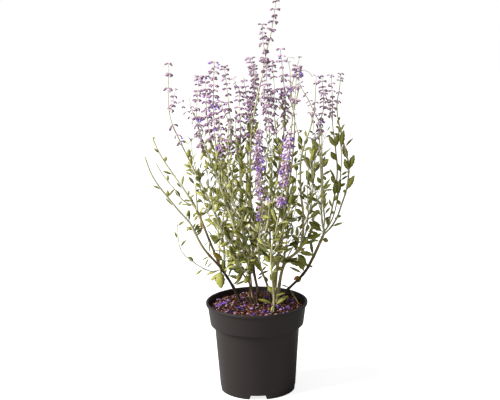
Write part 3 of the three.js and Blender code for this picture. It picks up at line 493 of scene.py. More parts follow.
# Leaves that are placed one by one, under their stem: height of the foot, tip, width, tint, and how
# dry if it withers. Leaves far to the right, on the plant's shaded side, have slightly lighter tints:
# painted light that makes up for the shade there.
BLADES = {
    "left_arch": [
        (398, (-184, -58, 407), 4, 0.37), (381, (-158, -46, 396), 6.4, 0.45),
        (382, (-145, -45, 397), 5, 0.3), (361, (-163, -35, 378), 4.8, 0.21),
        (338, (-120, -29, 355), 5.6, 0.35), (331, (-119, -31, 353), 5, 0.35),
        (313, (-126, -24, 321), 6.4, 0.38), (314, (-101, -29, 323), 8.4, 0.14),
        (308, (-96, -21, 318), 7.2, 0.19), (303, (-98, -30, 315), 6.8, 0.15),
        (318, (-109, -30, 329), 4.2, 0.38), (262, (-85, -3, 287), 3.4, 0.28),
        (259, (-95, -1, 238), 3.7, 0.28), (260, (-100, -10, 253), 3.4, 0.28),
        (210, (-44, 8, 235), 4.8, 0.56), (216, (-28, 24, 206), 8, 0.79),
        (194, (-29, 13, 208), 5.6, 0.34), (192, (-17, 27, 203), 5, 0.28),
        (230, (-97, 20, 214), 4, 0.49), (228, (-78, 12, 205), 6, 0.62),
        (226, (-86, 17, 206), 5, 0.49, 0.4), (228, (-93, 19, 217), 6, 0.49),
        (226, (-84, 12, 206), 6.4, 0.52), (310, (-104, -28, 328), 6.8, 0.29),
        (324, (-127, -25, 312), 5.2, 0.42)],
    "left_dark": [
        (424, (-164, 63, 435), 7.6, 0.3), (440, (-188, 65, 451), 4, 0.38),
        (466, (-186, 71, 472), 4, 0.38), (399, (-173, 54, 409), 5, 0.38),
        (376, (-133, 55, 401), 5.6, 0.38), (374, (-147, 59, 385), 5.4, 0.15),
        (356, (-114, 50, 364), 4.4, 0.35), (359, (-124, 54, 373), 4, 0.32),
        (345, (-141, 57, 343), 3.6, 0.38), (350, (-134, 52, 354), 4.4, 0.37),
        (345, (-128, 50, 343), 4.8, 0.35), (342, (-122, 43, 363), 4.8, 0.3),
        (331, (-118, 46, 321), 6, 0.32), (324, (-111, 38, 338), 7.2, 0.46),
        (326, (-95, 37, 345), 4.8, 0.74), (322, (-88, 38, 335), 4.8, 0.21),
        (320, (-101, 44, 300), 6.4, 0.62, 0.45), (302, (-81, 32, 313), 4.2, 0.38),
        (280, (-98, 23, 271), 2.6, 0.28), (323, (-95, 38, 332), 5.2, 0.33),
        (327, (-115, 43, 315), 6, 0.38)],
    "left_thin": [
        (359, (-149, 45, 375), 8, 0.14), (355, (-144, 45, 346), 5, 0.3),
        (392, (-161, 34, 407), 5.4, 0.29)],
    "left_up": [
        (383, (-124, 45, 400), 5.8, 0.14), (350, (-100, 45, 355), 7.6, 0.16),
        (369, (-104, 45, 376), 5, 0.28)],
    "left_tall": [
        (409, (-90, -26, 422), 8, 0.17), (405, (-103, -31, 420), 8.4, 0.57),
        (379, (-101, -27, 392), 6, 0.21), (381, (-86, -19, 394), 6.4, 0.72),
        (427, (-125, -26, 426), 4.8, 0.35), (446, (-118, -28, 467), 8.8, 0.43),
        (433, (-115, -36, 454), 6.8, 0.32), (473, (-136, -35, 484), 6.4, 0.45),
        (350, (-94, -19, 364), 9.2, 0.44, 0.15), (342, (-81, -14, 359), 6, 0.47),
        (258, (-62, 9, 224), 9.2, 0.34), (245, (-81, -2, 266), 12, 0.6, 0.6),
        (243, (-56, 6, 224), 5.2, 0.49), (263, (-46, 5, 266), 5, 0.3), (253, (-42, 5, 258), 5.6, 0.28),
        (287, (-86, -10, 300), 10, 0.49, 0.15), (276, (-49, -3, 284), 6, 0.64),
        (345, (-61, -14, 359), 7.2, 0.47), (335, (-59, -11, 345), 7.6, 0.49),
        (319, (-78, -7, 332), 7.2, 0.49)],
    "left_low": [
        (336, (-127, -83, 346), 5, 0.33), (309, (-146, -69, 324), 4.6, 0.28),
        (293, (-125, -68, 308), 5, 0.33), (257, (-124, -37, 268), 8, 0.2),
        (237, (-80, -15, 251), 3.1, 0.28), (240, (-112, -27, 229), 4.8, 0.37)],
    "back_left": [
        (252, (-55, 62, 221), 20, 0.41), (249, (-37, 53, 222), 17, 0.45),
        (254, (-51, 64, 250), 10, 0.71), (248, (-55, 63, 229), 10, 0.32),
        (246, (-43, 51, 242), 7.2, 0.91, 0.5), (426, (-59, 131, 439), 6.8, 0.43),
        (420, (-38, 130, 428), 6, 0.43), (401, (-64, 122, 386), 7.6, 0.37),
        (402, (-45, 124, 414), 6, 0.43), (437, (-56, 125, 451), 6, 0.43),
        (429, (-35, 131, 439), 6, 0.4), (414, (-63, 128, 426), 6, 0.38),
        (408, (-41, 130, 417), 6, 0.4)],
    "middle_dark": [
        (233, (-31, 41, 234), 8, 0.12), (252, (-3, 59, 234), 13.2, 0.27),
        (227, (-37, 48, 205), 5.2, 0.9), (224, (-21, 43, 202), 4, 0.49),
        (413, (-36, 88, 433), 10.4, 0.31), (416, (-16, 78, 439), 8, 0.37),
        (432, (-19, 91, 451), 6.8, 0.37), (399, (-45, 81, 402), 8.4, 0.37),
        (393, (-16, 82, 407), 6, 0.4), (441, (-37, 83, 455), 6, 0.38)],
    "left_pale": [
        (247, (-21, 24, 220), 12, 0.74), (219, (19, 24, 230), 5, 0.43), (213, (21, 30, 198), 8, 0.45),
        (436, (-65, 77, 452), 6.4, 0.43), (435, (-59, 67, 445), 5.6, 0.43),
        (452, (-87, 76, 466), 5.2, 0.49), (444, (-83, 71, 458), 4.8, 0.49)],
    "tall_middle": [
        (257, (10, 19, 221), 10.8, 0.46)],
    "back_middle": [
        (200, (25, 64, 210), 5.2, 0.19)],
    "front_left": [
        (223, (2, -17, 216), 4.4, 0.49), (279, (24, -23, 281), 6.8, 0.39),
        (432, (20, -78, 445), 6, 0.38), (420, (22, -74, 430), 6, 0.38),
        (405, (22, -72, 417), 6.4, 0.38), (392, (23, -66, 404), 6.4, 0.38)],
    "top_right": [
        (245, (32, 4, 202), 11.2, 0.6), (240, (53, -6, 259), 8, 0.78), (253, (54, -1, 242), 8, 0.49),
        (237, (51, 1, 228), 7.2, 0.49), (245, (56, -5, 254), 8, 0.4), (239, (26, 3, 244), 8, 0.37),
        (251, (58, -1, 242), 8, 0.4)],
    "front_right": [
        (258, (14, -55, 273), 10, 0.45), (250, (9, -56, 261), 3.6, 0.49),
        (197, (21, -46, 213), 10, 0.51), (195, (36, -43, 209), 4.8, 0.56),
        (220, (25, -56, 239), 6, 0.31), (262, (43, -59, 272), 8, 0.51),
        (177, (26, -53, 165), 5, 0.6, 0.3), (191, (53, -49, 199), 5.5, 0.35, 0.35)],
    "right_fork": [
        (243, (89, 13, 233), 11.6, 0.38), (248, (78, 1, 248), 6, 0.19),
        (263, (107, -5, 258), 10, 0.42), (263, (92, -2, 271), 5, 0.55),
        (483, (92, -29, 498), 4.8, 0.69), (463, (105, -33, 466), 5.2, 0.55),
        (198, (60, 6, 194), 3, 0.2), (393, (79, -19, 406), 4.8, 0.38), (379, (78, -19, 392), 4, 0.43),
        (387, (89, -15, 401), 4.4, 0.45), (373, (91, -13, 386), 4.4, 0.49),
        (350, (75, -6, 359), 6.8, 0.38), (338, (74, -5, 347), 7.6, 0.38),
        (234, (39, 12, 224), 6.8, 0.52)],
    "right_brown": [
        (213, (80, 33, 244), 14, 0.51), (225, (89, 39, 230), 7.2, 0.62),
        (225, (107, 39, 223), 4.8, 0.73), (210, (62, 31, 226), 5.6, 0.55),
        (287, (100, 50, 309), 14, 0.29), (278, (104, 49, 290), 7.6, 0.31),
        (289, (104, 42, 274), 7.2, 0.59), (271, (106, 49, 273), 4.8, 0.75),
        (274, (137, 49, 271), 10.8, 0.45), (297, (103, 43, 315), 4.8, 0.29),
        (338, (113, 46, 354), 7.2, 0.63), (440, (106, 54, 468), 10.8, 0.79),
        (426, (137, 51, 445), 5.6, 0.38), (425, (121, 60, 442), 8, 0.36),
        (409, (127, 63, 430), 7.2, 0.45), (407, (138, 48, 429), 13.6, 0.39),
        (364, (141, 49, 391), 6, 0.43), (393, (144, 62, 404), 5.6, 0.43),
        (378, (117, 57, 393), 8, 0.39), (366, (106, 52, 381), 5, 0.43),
        (209, (77, 38, 193), 10.8, 0.84), (184, (79, 2, 162), 3.2, 0.5),
        (242, (103, 38, 277), 6.8, 0.27), (308, (141, 43, 320), 6, 0.38),
        (319, (113, 54, 331), 6, 0.38), (349, (136, 56, 363), 5.6, 0.43)],
    "right_outer": [
        (297, (165, 45, 307), 5.6, 0.46), (314, (162, 54, 318), 6, 0.43),
        (314, (150, 57, 311), 4.4, 0.55), (419, (167, 80, 448), 11.6, 0.32),
        (444, (186, 78, 462), 4.8, 0.52), (399, (188, 80, 430), 12.4, 0.45),
        (399, (169, 69, 425), 10.4, 0.38), (360, (188, 71, 392), 12.8, 0.48),
        (358, (168, 67, 366), 6.8, 0.53), (484, (156, 79, 497), 5, 0.49),
        (494, (161, 79, 503), 4.4, 0.49), (480, (153, 80, 485), 5.2, 0.45),
        (471, (158, 78, 484), 6.4, 0.36), (477, (167, 79, 483), 5, 0.45)],
    "right_long": [
        (322, (149, 56, 325), 8, 0.55), (298, (137, 47, 316), 8, 0.35),
        (442, (140, 81, 468), 10, 0.79), (439, (159, 84, 472), 10.8, 0.34),
        (465, (143, 89, 474), 5.6, 0.52), (416, (144, 83, 436), 11.6, 0.44),
        (374, (143, 64, 393), 9.6, 0.61), (379, (141, 65, 407), 5, 0.45),
        (349, (155, 69, 385), 12, 0.28), (342, (158, 62, 358), 7.2, 0.45),
        (332, (139, 54, 351), 5.2, 0.5), (468, (159, 96, 465), 6, 0.36)],
    "right_back": [
        (316, (108, 68, 329), 9.6, 0.54), (327, (118, 64, 320), 5, 0.43),
        (400, (91, 68, 433), 12.8, 0.76), (374, (97, 82, 401), 11.6, 0.67),
        (379, (111, 74, 406), 10.4, 0.67), (424, (111, 72, 458), 7.6, 0.56),
        (428, (121, 73, 454), 6.4, 0.56), (440, (108, 83, 460), 5.2, 0.56)],
    "right_inner": [
        (337, (131, 40, 359), 8.4, 0.5), (339, (136, 34, 347), 4.8, 0.49),
        (323, (141, 42, 338), 5, 0.53), (403, (132, 32, 392), 6.4, 0.45),
        (371, (146, 39, 372), 4.4, 0.53), (371, (142, 25, 387), 6.8, 0.38)],
    "right_twin": [
        (348, (160, 62, 337), 8, 0.52), (441, (168, 68, 480), 10.8, 0.33),
        (449, (163, 76, 472), 7.2, 0.44), (472, (170, 73, 491), 4.6, 0.52),
        (397, (155, 68, 417), 8, 0.31), (381, (176, 74, 391), 4.8, 0.29),
        (391, (175, 65, 401), 5.6, 0.31), (350, (161, 55, 390), 12, 0.23),
        (369, (171, 70, 377), 7.2, 0.3)],
    "vee_left": [
        (494, (85, -37, 473), 9.2, 0.23), (492, (87, -32, 499), 3.8, 0.49)],
    "back_right": [
        (415, (84, 131, 430), 7.2, 0.41)],
    "brown_inner": [
        (424, (111, 12, 456), 8.4, 0.49)],
    "fork_back": [
        (405, (78, 44, 421), 9.2, 0.3), (399, (92, 36, 408), 6, 0.57), (385, (70, 31, 402), 8.8, 0.3),
        (365, (77, 27, 384), 7.2, 0.49), (361, (66, 25, 378), 6, 0.4), (348, (79, 11, 360), 7.6, 0.43)],
    "left_inner": [
        (469, (-97, -55, 450), 5.2, 0.41), (460, (-94, -49, 470), 5.6, 0.49),
        (450, (-75, -42, 431), 8.4, 0.3), (449, (-87, -48, 433), 4.8, 0.43),
        (476, (-81, -54, 489), 4.8, 0.38), (459, (-77, -46, 472), 4.8, 0.47),
        (442, (-71, -46, 455), 5.2, 0.45), (433, (-84, -40, 442), 5.2, 0.45),
        (425, (-63, -44, 436), 5.2, 0.45), (468, (-98, -45, 477), 6, 0.38)],
    "mid_left": [
        (449, (-81, 29, 461), 4.8, 0.56), (439, (-59, 26, 428), 4, 0.23),
        (427, (-75, 24, 440), 5.2, 0.52), (425, (-55, 23, 438), 6.8, 0.38),
        (414, (-49, 21, 424), 6.4, 0.44)],
    "mid_right": [
        (457, (45, 40, 471), 6, 0.4), (448, (60, 34, 463), 5.6, 0.4), (440, (43, 41, 450), 6, 0.37),
        (427, (40, 35, 439), 6, 0.38), (396, (34, 37, 412), 6, 0.38), (235, (15, 38, 246), 8, 0.38)],
    "back_fill": [
        (396, (25, 89, 415), 6, 0.37), (377, (21, 84, 394), 6.4, 0.38),
        (363, (40, 89, 380), 6.8, 0.34), (351, (17, 89, 366), 6.8, 0.38)],
    "bush_right": [
        (352, (66, -13, 368), 8, 0.4)],
}

# Helpers for directions

def unit(vectors):
    """Vectors along the last axis, scaled to length one."""
    vectors = np.asarray(vectors, float)
    return vectors / np.linalg.norm(vectors, axis=-1, keepdims=True)


def turned(vector, axis, angle):
    """vector turned by angle about axis, by Rodrigues' formula."""
    axis = unit(axis)
    along = axis * np.dot(axis, vector)
    return along + (vector - along) * math.cos(angle) + np.cross(axis, vector) * math.sin(angle)


class Route:
    """A smooth curve through given points.

    Between two points it is the cubic that passes both, with a slope at each of half the way from the
    point before to the point after. Places on it are named by their share of its length.
    """

    STEPS = 40
    HEADING_STEP = 0.004

    def __init__(self, points):
        p = np.asarray(points, float)
        p = np.vstack([2 * p[0] - p[1], p, 2 * p[-1] - p[-2]])
        t = np.linspace(0, 1, self.STEPS, endpoint=False)[:, None]
        pieces = []
        for a, b, c, d in zip(p[:-3], p[1:-2], p[2:-1], p[3:]):
            slope_b = (c - a) / 2
            slope_c = (d - b) / 2
            pieces.append(
                (2 * t ** 3 - 3 * t ** 2 + 1) * b + (t ** 3 - 2 * t ** 2 + t) * slope_b
                + (3 * t ** 2 - 2 * t ** 3) * c + (t ** 3 - t ** 2) * slope_c
            )
        self.points = np.vstack(pieces + [p[-2:-1]])
        steps = np.linalg.norm(np.diff(self.points, axis=0), axis=1)
        run = np.concatenate([[0], np.cumsum(steps)])
        self.length = run[-1]
        self.shares = run / run[-1]

    def at(self, share):
        """The point, or points, at a share of the length."""
        return np.stack([np.interp(share, self.shares, self.points[:, k]) for k in range(3)], -1)

    def heading(self, share):
        """The way the stem grows, from a little below the share to a little above it."""
        above = self.at(np.clip(np.add(share, self.HEADING_STEP), 0, 1))
        below = self.at(np.clip(np.subtract(share, self.HEADING_STEP), 0, 1))
        return unit(above - below)

    def share_at_height(self, height):
        """Where the curve first comes to a height, or its tip where it never does."""
        above = np.nonzero(self.points[:, 2] >= height)[0]
        return self.shares[above[0]] if len(above) else 1.0


# Closed shapes: stacks of rings of points.
# A shape is an array (bodies, rings, points, 3), and its marks are named values for each point.

def ring_angles(sides):
    """Even turns round a ring."""
    return np.arange(sides) * 2 * math.pi / sides


def ring_ways(side, across, sides):
    """Directions from a ring's middle to its points: cosine of side and sine of across."""
    angle = ring_angles(sides)[:, None]
    return np.cos(angle) * side[..., None, :] + np.sin(angle) * across[..., None, :]


def level_ring(sides):
    """Points evenly round a level circle of radius one."""
    angle = ring_angles(sides)
    return np.stack([np.cos(angle), np.sin(angle), np.zeros(sides)], -1)


def tube(route, shares, radii, sides, square=0.0):
    """Rings square to a route. A ring's radius is its own value, a little more at four corners."""
    shares = np.asarray(shares, float)
    centres = route.at(shares)
    headings = route.heading(shares)
    reference = np.eye(3)[np.abs(headings).max(0).argmin()]
    side = unit(np.cross(headings, reference))
    ways = ring_ways(side, np.cross(headings, side), sides)
    corners = 1 + square * np.cos(4 * ring_angles(sides))
    reach = np.asarray(radii, float)[:, None] * corners
    return (centres[:, None, :] + reach[..., None] * ways)[None]


# A leaf: places along its midrib, its half-width there, and the four points of its section
LEAF_STATIONS = np.array([0, 0.14, 0.26, 0.38, 0.46, 0.57, 0.64, 0.75, 0.82, 0.92, 1.0])
LEAF_OUTLINE = np.array([0.1, 0.1, 0.34, 0.8, 0.76, 1.0, 0.82, 0.84, 0.54, 0.38, 0.03])
LEAF_ACROSS = np.array([1, 0, -1, 0])
LEAF_UP = np.array([0, 1, 0, -1])
LEAF_HALF_THICKNESS = 0.2


def leaf_shapes(base, along, face, length, width, curl, fold):
    """Thin leaves with a diamond-shaped section.

    The midrib is an arc that bends away from the face by curl in all. The half-width follows the
    outline, whose wider stations stand out as blunt teeth, and both halves rise by fold.
    """
    t = LEAF_STATIONS[None, :, None]
    turn = curl[:, None, None] * t
    along = along[:, None, :]
    face = face[:, None, :]
    size = length[:, None, None]
    middle = base[:, None, :] + size * (
        along * np.sin(turn) - face * (1 - np.cos(turn))
    ) / curl[:, None, None]
    heading = along * np.cos(turn) - face * np.sin(turn)
    normal = face * np.cos(turn) + along * np.sin(turn)
    side = np.cross(normal, heading)
    half = (width[:, None] / 2 * LEAF_OUTLINE[None, :])[:, :, None]
    across = half * LEAF_ACROSS[None, None, :]
    rise = np.abs(across) * fold[:, None, None]
    skin = LEAF_HALF_THICKNESS * LEAF_UP[None, None, :]
    return (
        middle[:, :, None, :]
        + across[..., None] * side[:, :, None, :]
        + (rise + skin)[..., None] * normal[:, :, None, :]
    )


# Flower parts are horns: places along them, the radius there, and the sides and lobes of their rings
BELL = dict(
    stations=np.array([0, 0.16, 0.32, 0.6, 0.9, 1.0, 0.84]),
    radii=np.array([0.16, 0.24, 0.68, 0.95, 1.0, 0.8, 0.25]),
    sides=5, lobes=2.5, lobe_depth=0.1)
COROLLA = dict(
    stations=np.array([0, 0.34, 0.66, 1.0, 0.84, 0.5]),
    radii=np.array([0.16, 0.22, 0.5, 1.0, 0.7, 0.12]),
    sides=10, lobes=5, lobe_depth=0.3)
LOBED_RADIUS = 0.7


def horn_shapes(form, base, along, down, length, width, droop):
    """Calyces or corollas: rings about an arc that starts along the flower and bends towards down by
    droop. A bell widens from a short stalk, a corolla flares from a narrow tube, and both turn in at
    the mouth. A cosine round the widest rings makes the lobes."""
    t = form["stations"][None, :, None]
    bend = droop[:, None, None]
    along = along[:, None, :]
    lean = down - along[:, 0, :] * np.sum(down * along[:, 0, :], -1, keepdims=True)
    lean = unit(lean)[:, None, :]
    middle = base[:, None, :] + length[:, None, None] * (
        along * np.sin(bend * t) + lean * (1 - np.cos(bend * t))
    ) / bend
    heading = along * np.cos(bend * t) + lean * np.sin(bend * t)
    side = unit(np.cross(np.broadcast_to(lean, heading.shape), heading))
    ways = ring_ways(side, np.cross(heading, side), form["sides"])
    radii = form["radii"][:, None]
    lobes = form["lobe_depth"] * np.cos(form["lobes"] * ring_angles(form["sides"]))
    wave = 1 + lobes * (radii > LOBED_RADIUS)
    reach = (width[:, None, None] / 2) * radii[None] * wave[None]
    return middle[:, :, None, :] + reach[..., None] * ways


def marks_like(shape, **values):
    """Marks for every point of a shape. A value may be one number, one per body, or already full."""
    full = {}
    for name, value in values.items():
        value = np.asarray(value, float)
        if value.ndim == 1 and len(value) == shape.shape[0]:
            value = value[:, None, None]
        full[name] = np.broadcast_to(value, shape.shape[:3]).ravel()
    return full


class Piece:
    """Closed shapes gathered into one mesh."""

    def __init__(self, name):
        self.name = name
        self.points = []
        self.faces = []
        self.marks = []
        self.count = 0

    def add(self, shape, **marks):
        """Join each ring to the next with four-sided faces, and close both ends."""
        bodies, rings, sides, _ = shape.shape
        index = np.arange(bodies * rings * sides).reshape(bodies, rings, sides) + self.count
        here = index[:, :-1, :]
        above = index[:, 1:, :]
        walls = np.stack(
            [here, np.roll(here, -1, 2), np.roll(above, -1, 2), above], -1
        ).reshape(-1, 4)
        self.faces += walls.tolist()
        self.faces += index[:, 0, ::-1].tolist()
        self.faces += index[:, -1, :].tolist()
        self.points.append(shape.reshape(-1, 3))
        self.marks.append(marks_like(shape, **marks))
        self.count += bodies * rings * sides

    def make(self, material, slot, *replaced):
        """The finished piece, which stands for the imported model's nodes that are named."""
        if not self.count:
            return None
        mesh = bpy.data.meshes.new(self.name)
        mesh.from_pydata(np.vstack(self.points) * MM, [], self.faces)
        for name in self.marks[0]:
            layer = mesh.attributes.new(name, "FLOAT", "POINT")
            layer.data.foreach_set("value", np.concatenate([m[name] for m in self.marks]))
        mesh.polygons.foreach_set("use_smooth", np.ones(len(mesh.polygons), bool))
        mesh.update()
        mesh.materials.append(material)
        piece = bpy.data.objects.new(self.name, mesh)
        bpy.context.scene.collection.objects.link(piece)
        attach(piece, "root")
        if replaced:
            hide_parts(*replaced)
        return piece


def make_horns(name, form, material, base, along, down, length, width, droop, tint, replaced=()):
    """A piece of calyces or corollas."""
    shape = horn_shapes(form, base, along, down, length, width, droop)
    piece = Piece(name)
    piece.add(shape, tint=tint, along=form["stations"][None, :, None])
    piece.make(material, "flower", *replaced)


def ripple(points, size, seed, count=5):
    """Smooth lumps from -1 to 1: the mean of cosine waves about size apart, in random directions."""
    rng = np.random.default_rng(seed)
    waves = unit(rng.normal(size=(count, 3))) * (2 * math.pi / size) * rng.uniform(0.6, 1.6, (count, 1))
    phases = rng.uniform(0, 2 * math.pi, count)
    return np.cos(points @ waves.T + phases).mean(-1)


def lumps(points, layers):
    """Ripples added up. A layer is its height, how far apart its waves are, and its seed."""
    return sum(height * ripple(points, apart, seed) for height, apart, seed in layers)


# Shader maths

class Socket:
    """A shader value. Arithmetic on it adds Math nodes."""

    def __init__(self, paint, output):
        self.paint = paint
        self.output = output

    def math(self, operation, first, second):
        return self.paint.node("ShaderNodeMath", {"operation": operation}, {0: first, 1: second})

    def __add__(self, other):
        return self.math("ADD", self, other)

    __radd__ = __add__

    def __mul__(self, other):
        return self.math("MULTIPLY", self, other)

    __rmul__ = __mul__

    def __sub__(self, other):
        return self.math("SUBTRACT", self, other)

    def __rsub__(self, other):
        return self.math("SUBTRACT", other, self)

    def clamped(self):
        return self.paint.node("ShaderNodeClamp", {}, {0: self})


class Paint:
    """One material: node() adds any node, and the other methods are short forms of it."""

    def __init__(self, name, **constants):
        self.material = bpy.data.materials.new(name)
        self.material.use_nodes = True
        self.tree = self.material.node_tree
        self.shader = self.tree.nodes["Principled BSDF"]
        for socket, value in constants.items():
            self.feed(self.shader.inputs[socket.replace("_", " ")], value)

    def feed(self, socket, value):
        """Link a shader value to an input, or set the input to a plain value."""
        if isinstance(value, Socket):
            self.tree.links.new(value.output, socket)
        else:
            socket.default_value = value

    def node(self, kind, settings, inputs, output=0):
        """A node with its settings and inputs, as one of its outputs. The setting stops fills a
        colour ramp."""
        node = self.tree.nodes.new(kind)
        for name, value in settings.items():
            if name == "stops":
                ramp = node.color_ramp
                while len(ramp.elements) < len(value):
                    ramp.elements.new(0.5)
                for element, (position, color) in zip(ramp.elements, value):
                    element.position = position
                    element.color = color
            else:
                setattr(node, name, value)
        for name, value in inputs.items():
            self.feed(node.inputs[name], value)
        return Socket(self, node.outputs[output])

    def mark(self, name):
        """A value that the mesh holds for each of its points."""
        return self.node("ShaderNodeAttribute", {"attribute_name": name}, {}, "Fac")

    def place(self, stretch=(1, 1, 1)):
        """Where a point is on the object, stretched along each axis."""
        spot = self.node("ShaderNodeTexCoord", {}, {}, "Object")
        return self.node("ShaderNodeMapping", {}, {"Vector": spot, "Scale": stretch})

    def noise(self, scale, detail=3, stretch=(1, 1, 1), rough=0.6):
        inputs = {"Vector": self.place(stretch), "Scale": scale, "Detail": detail, "Roughness": rough}
        return self.node("ShaderNodeTexNoise", {}, inputs, 0)

    def ramp(self, value, *stops):
        stops = [(position, tone(color)) for position, color in stops]
        return self.node("ShaderNodeValToRGB", {"stops": stops}, {"Fac": value})

    def blend(self, share, first, second):
        ends = [tone(c) if isinstance(c, str) else c for c in (first, second)]
        inputs = {0: share, 6: ends[0], 7: ends[1]}
        return self.node("ShaderNodeMix", {"data_type": "RGBA"}, inputs, 2)

    def bump(self, height, strength, depth):
        inputs = {"Height": height, "Strength": strength, "Distance": depth}
        self.set("Normal", self.node("ShaderNodeBump", {}, inputs))

    def set(self, socket, value):
        self.feed(self.shader.inputs[socket], value)


def tone(text):
    """A screen colour such as #a0b060 as the linear colour that shaders take."""
    parts = [int(text[k:k + 2], 16) / 255 for k in (1, 3, 5)]
    linear = [c / 12.92 if c < 0.04045 else ((c + 0.055) / 1.055) ** 2.4 for c in parts]
    return (*linear, 1.0)


# Materials

def pot_plastic():
    """Moulded anthracite plastic: satin, with fine grain, faint streaks and a little dust."""
    paint = Paint("pot_plastic", Specular_IOR_Level=0.18)
    cloud = paint.noise(14, 4)
    streak = paint.noise(9, 3, (1, 1, 0.12))
    paint.set("Base Color", paint.blend(
        (cloud * 0.6 + streak * 0.4).clamped(), "#25201e", "#2c2625"))
    paint.set("Roughness", cloud * 0.16 + 0.42)
    paint.bump(paint.noise(1400, 2) * 0.5 + paint.noise(160, 2) * 0.5, 0.18, 0.0004)
    return paint.material


def potting_soil():
    """Dark peat with red-brown fibres."""
    paint = Paint("potting_soil", Specular_IOR_Level=0.2, Roughness=0.95)
    crumbs = paint.noise(260, 5)
    patches = paint.noise(40, 3)
    mixed = paint.ramp(crumbs, (0.3, "#140d0b"), (0.5, "#35211b"), (0.62, "#5a3328"), (0.75, "#7c4c38"))
    paint.set("Base Color", paint.blend(patches, mixed, "#24150f"))
    paint.bump(crumbs, 0.9, 0.002)
    return paint.material


def bark_chips():
    """Composted bark, each bit with its own tone from near black to pinkish brown."""
    paint = Paint("bark_chips", Specular_IOR_Level=0.2, Roughness=0.9)
    tint = paint.mark("tint")
    tones = paint.ramp(
        tint, (0, "#1d110d"), (0.35, "#3c2219"), (0.62, "#6a3526"), (0.85, "#8e5440"), (1, "#c9a392"))
    grain = paint.noise(420, 4, (1, 1, 3))
    paint.set("Base Color", paint.blend(grain * 0.5, tones, "#2b1a13"))
    paint.bump(grain, 0.6, 0.0008)
    return paint.material


def stem_bark():
    """Stem skin by its age mark: cracked brown wood, then tan, then downy grey-green."""
    paint = Paint("stem_bark", Specular_IOR_Level=0.25, Roughness=0.75)
    age = paint.mark("youth")
    streak = paint.noise(500, 4, (1, 1, 0.16))
    spots = paint.noise(120, 3)
    shifted = (age + (spots - 0.5) * 0.25).clamped()
    skin = paint.ramp(
        shifted, (0, "#44382a"), (0.25, "#7e6a44"), (0.45, "#a18d64"), (0.62, "#a6a378"), (1, "#dad7be"))
    dark = paint.blend(0.5, skin, "#3a2c23")
    paint.set("Base Color", paint.blend((streak * (1 - age) * 0.9).clamped(), skin, dark))
    paint.bump(streak * (1.2 - age), 0.7, 0.0006)
    return paint.material


def leaf_skin():
    """Leaf by its own tint: olive green above with paler veins, greyer and lighter below. Light passes
    through the thin blade. Where dry is above 0 the tip withers to orange-brown."""
    paint = Paint(
        "leaf_skin", Specular_IOR_Level=0.3, Roughness=0.6, Subsurface_Weight=0.15,
        Subsurface_Radius=(0.8, 1.0, 0.4), Subsurface_Scale=0.0015)
    tint = paint.mark("tint")
    across = paint.mark("across")
    along = paint.mark("along")
    under = paint.mark("under")
    mottle = paint.noise(150, 3)
    green = paint.ramp(
        (tint + (mottle - 0.5) * 0.3).clamped(),
        (0, "#353514"), (0.25, "#5c5c20"), (0.5, "#898936"), (0.8, "#a3a35d"), (1, "#bfbd86"))
    midrib = (1 - across * 7).clamped()
    wave = paint.node("ShaderNodeMath", {"operation": "SINE"}, {0: (along - across * 0.35) * 44})
    veins = ((wave - 0.55) * 2).clamped() * 0.35
    pattern = ((midrib * 0.5 + veins).clamped()) * (0.7 - tint * 0.3)
    upper = paint.blend(pattern, green, "#a6a963")
    lower = paint.blend(0.35, green, "#969a68")
    skin = paint.blend(under, upper, lower)
    withered = ((paint.mark("dry") * 1.6 + along + (mottle - 0.5) * 0.6 - 1.2) * 3).clamped()
    paint.set("Base Color", paint.blend(withered * 0.8, skin, "#96702f"))
    paint.bump(mottle * 0.4 - pattern, 0.5, 0.0005)
    return paint.material


def calyx_down():
    """Downy calyx: from dusky purple-brown to mauve, paler and greener at its foot."""
    paint = Paint("calyx_down", Specular_IOR_Level=0.2, Roughness=0.85)
    tint = paint.mark("tint")
    along = paint.mark("along")
    down = paint.noise(900, 3)
    purple = paint.ramp(
        tint, (0, "#573c50"), (0.35, "#7f5f78"), (0.7, "#a884a4"), (1, "#c8a4c8"))
    dusk = paint.blend(((along - 0.5) * 1.5).clamped() * (1 - tint), purple, "#4e3346")
    body = paint.blend((1 - along).clamped() * 0.8, dusk, "#b8a0b2")
    foot = paint.blend(((1 - along) * 2.2 - 1.3).clamped(), body, "#858560")
    paint.set("Base Color", paint.blend((down - 0.4) * 0.5, foot, "#b9a3bd"))
    paint.bump(down, 0.6, 0.0004)
    return paint.material


def petal_violet():
    """Violet petals, deeper in the throat and paler at the lobes' edge."""
    paint = Paint("petal_violet", Specular_IOR_Level=0.25, Roughness=0.6)
    tint = paint.mark("tint")
    along = paint.mark("along")
    vein = paint.noise(600, 3)
    violet = paint.ramp(tint, (0, "#6447a8"), (0.5, "#8058bb"), (0.85, "#9d7acd"), (1, "#c3aade"))
    edge = (along - 0.5).clamped() * 0.5 + (vein - 0.5) * 0.2
    paint.set("Base Color", paint.blend(edge, violet, "#a67fd4"))
    paint.bump(vein, 0.3, 0.0003)
    return paint.material


def dry_skin():
    """A withered leaf: orange-brown, darker along its veins, and still olive at its foot."""
    paint = Paint("dry_skin", Specular_IOR_Level=0.2, Roughness=0.8)
    mottle = paint.noise(180, 4)
    midrib = (1 - paint.mark("across") * 6).clamped()
    brown = paint.ramp(mottle, (0.3, "#7a3d1c"), (0.5, "#b46a35"), (0.7, "#c99a5a"))
    withered = paint.blend(midrib * 0.6, brown, "#6d3a1e")
    green_left = ((0.62 - paint.mark("along") + (mottle - 0.5) * 0.3) * 5).clamped()
    paint.set("Base Color", paint.blend(green_left, withered, "#75761f"))
    paint.bump(mottle, 0.7, 0.0006)
    return paint.material


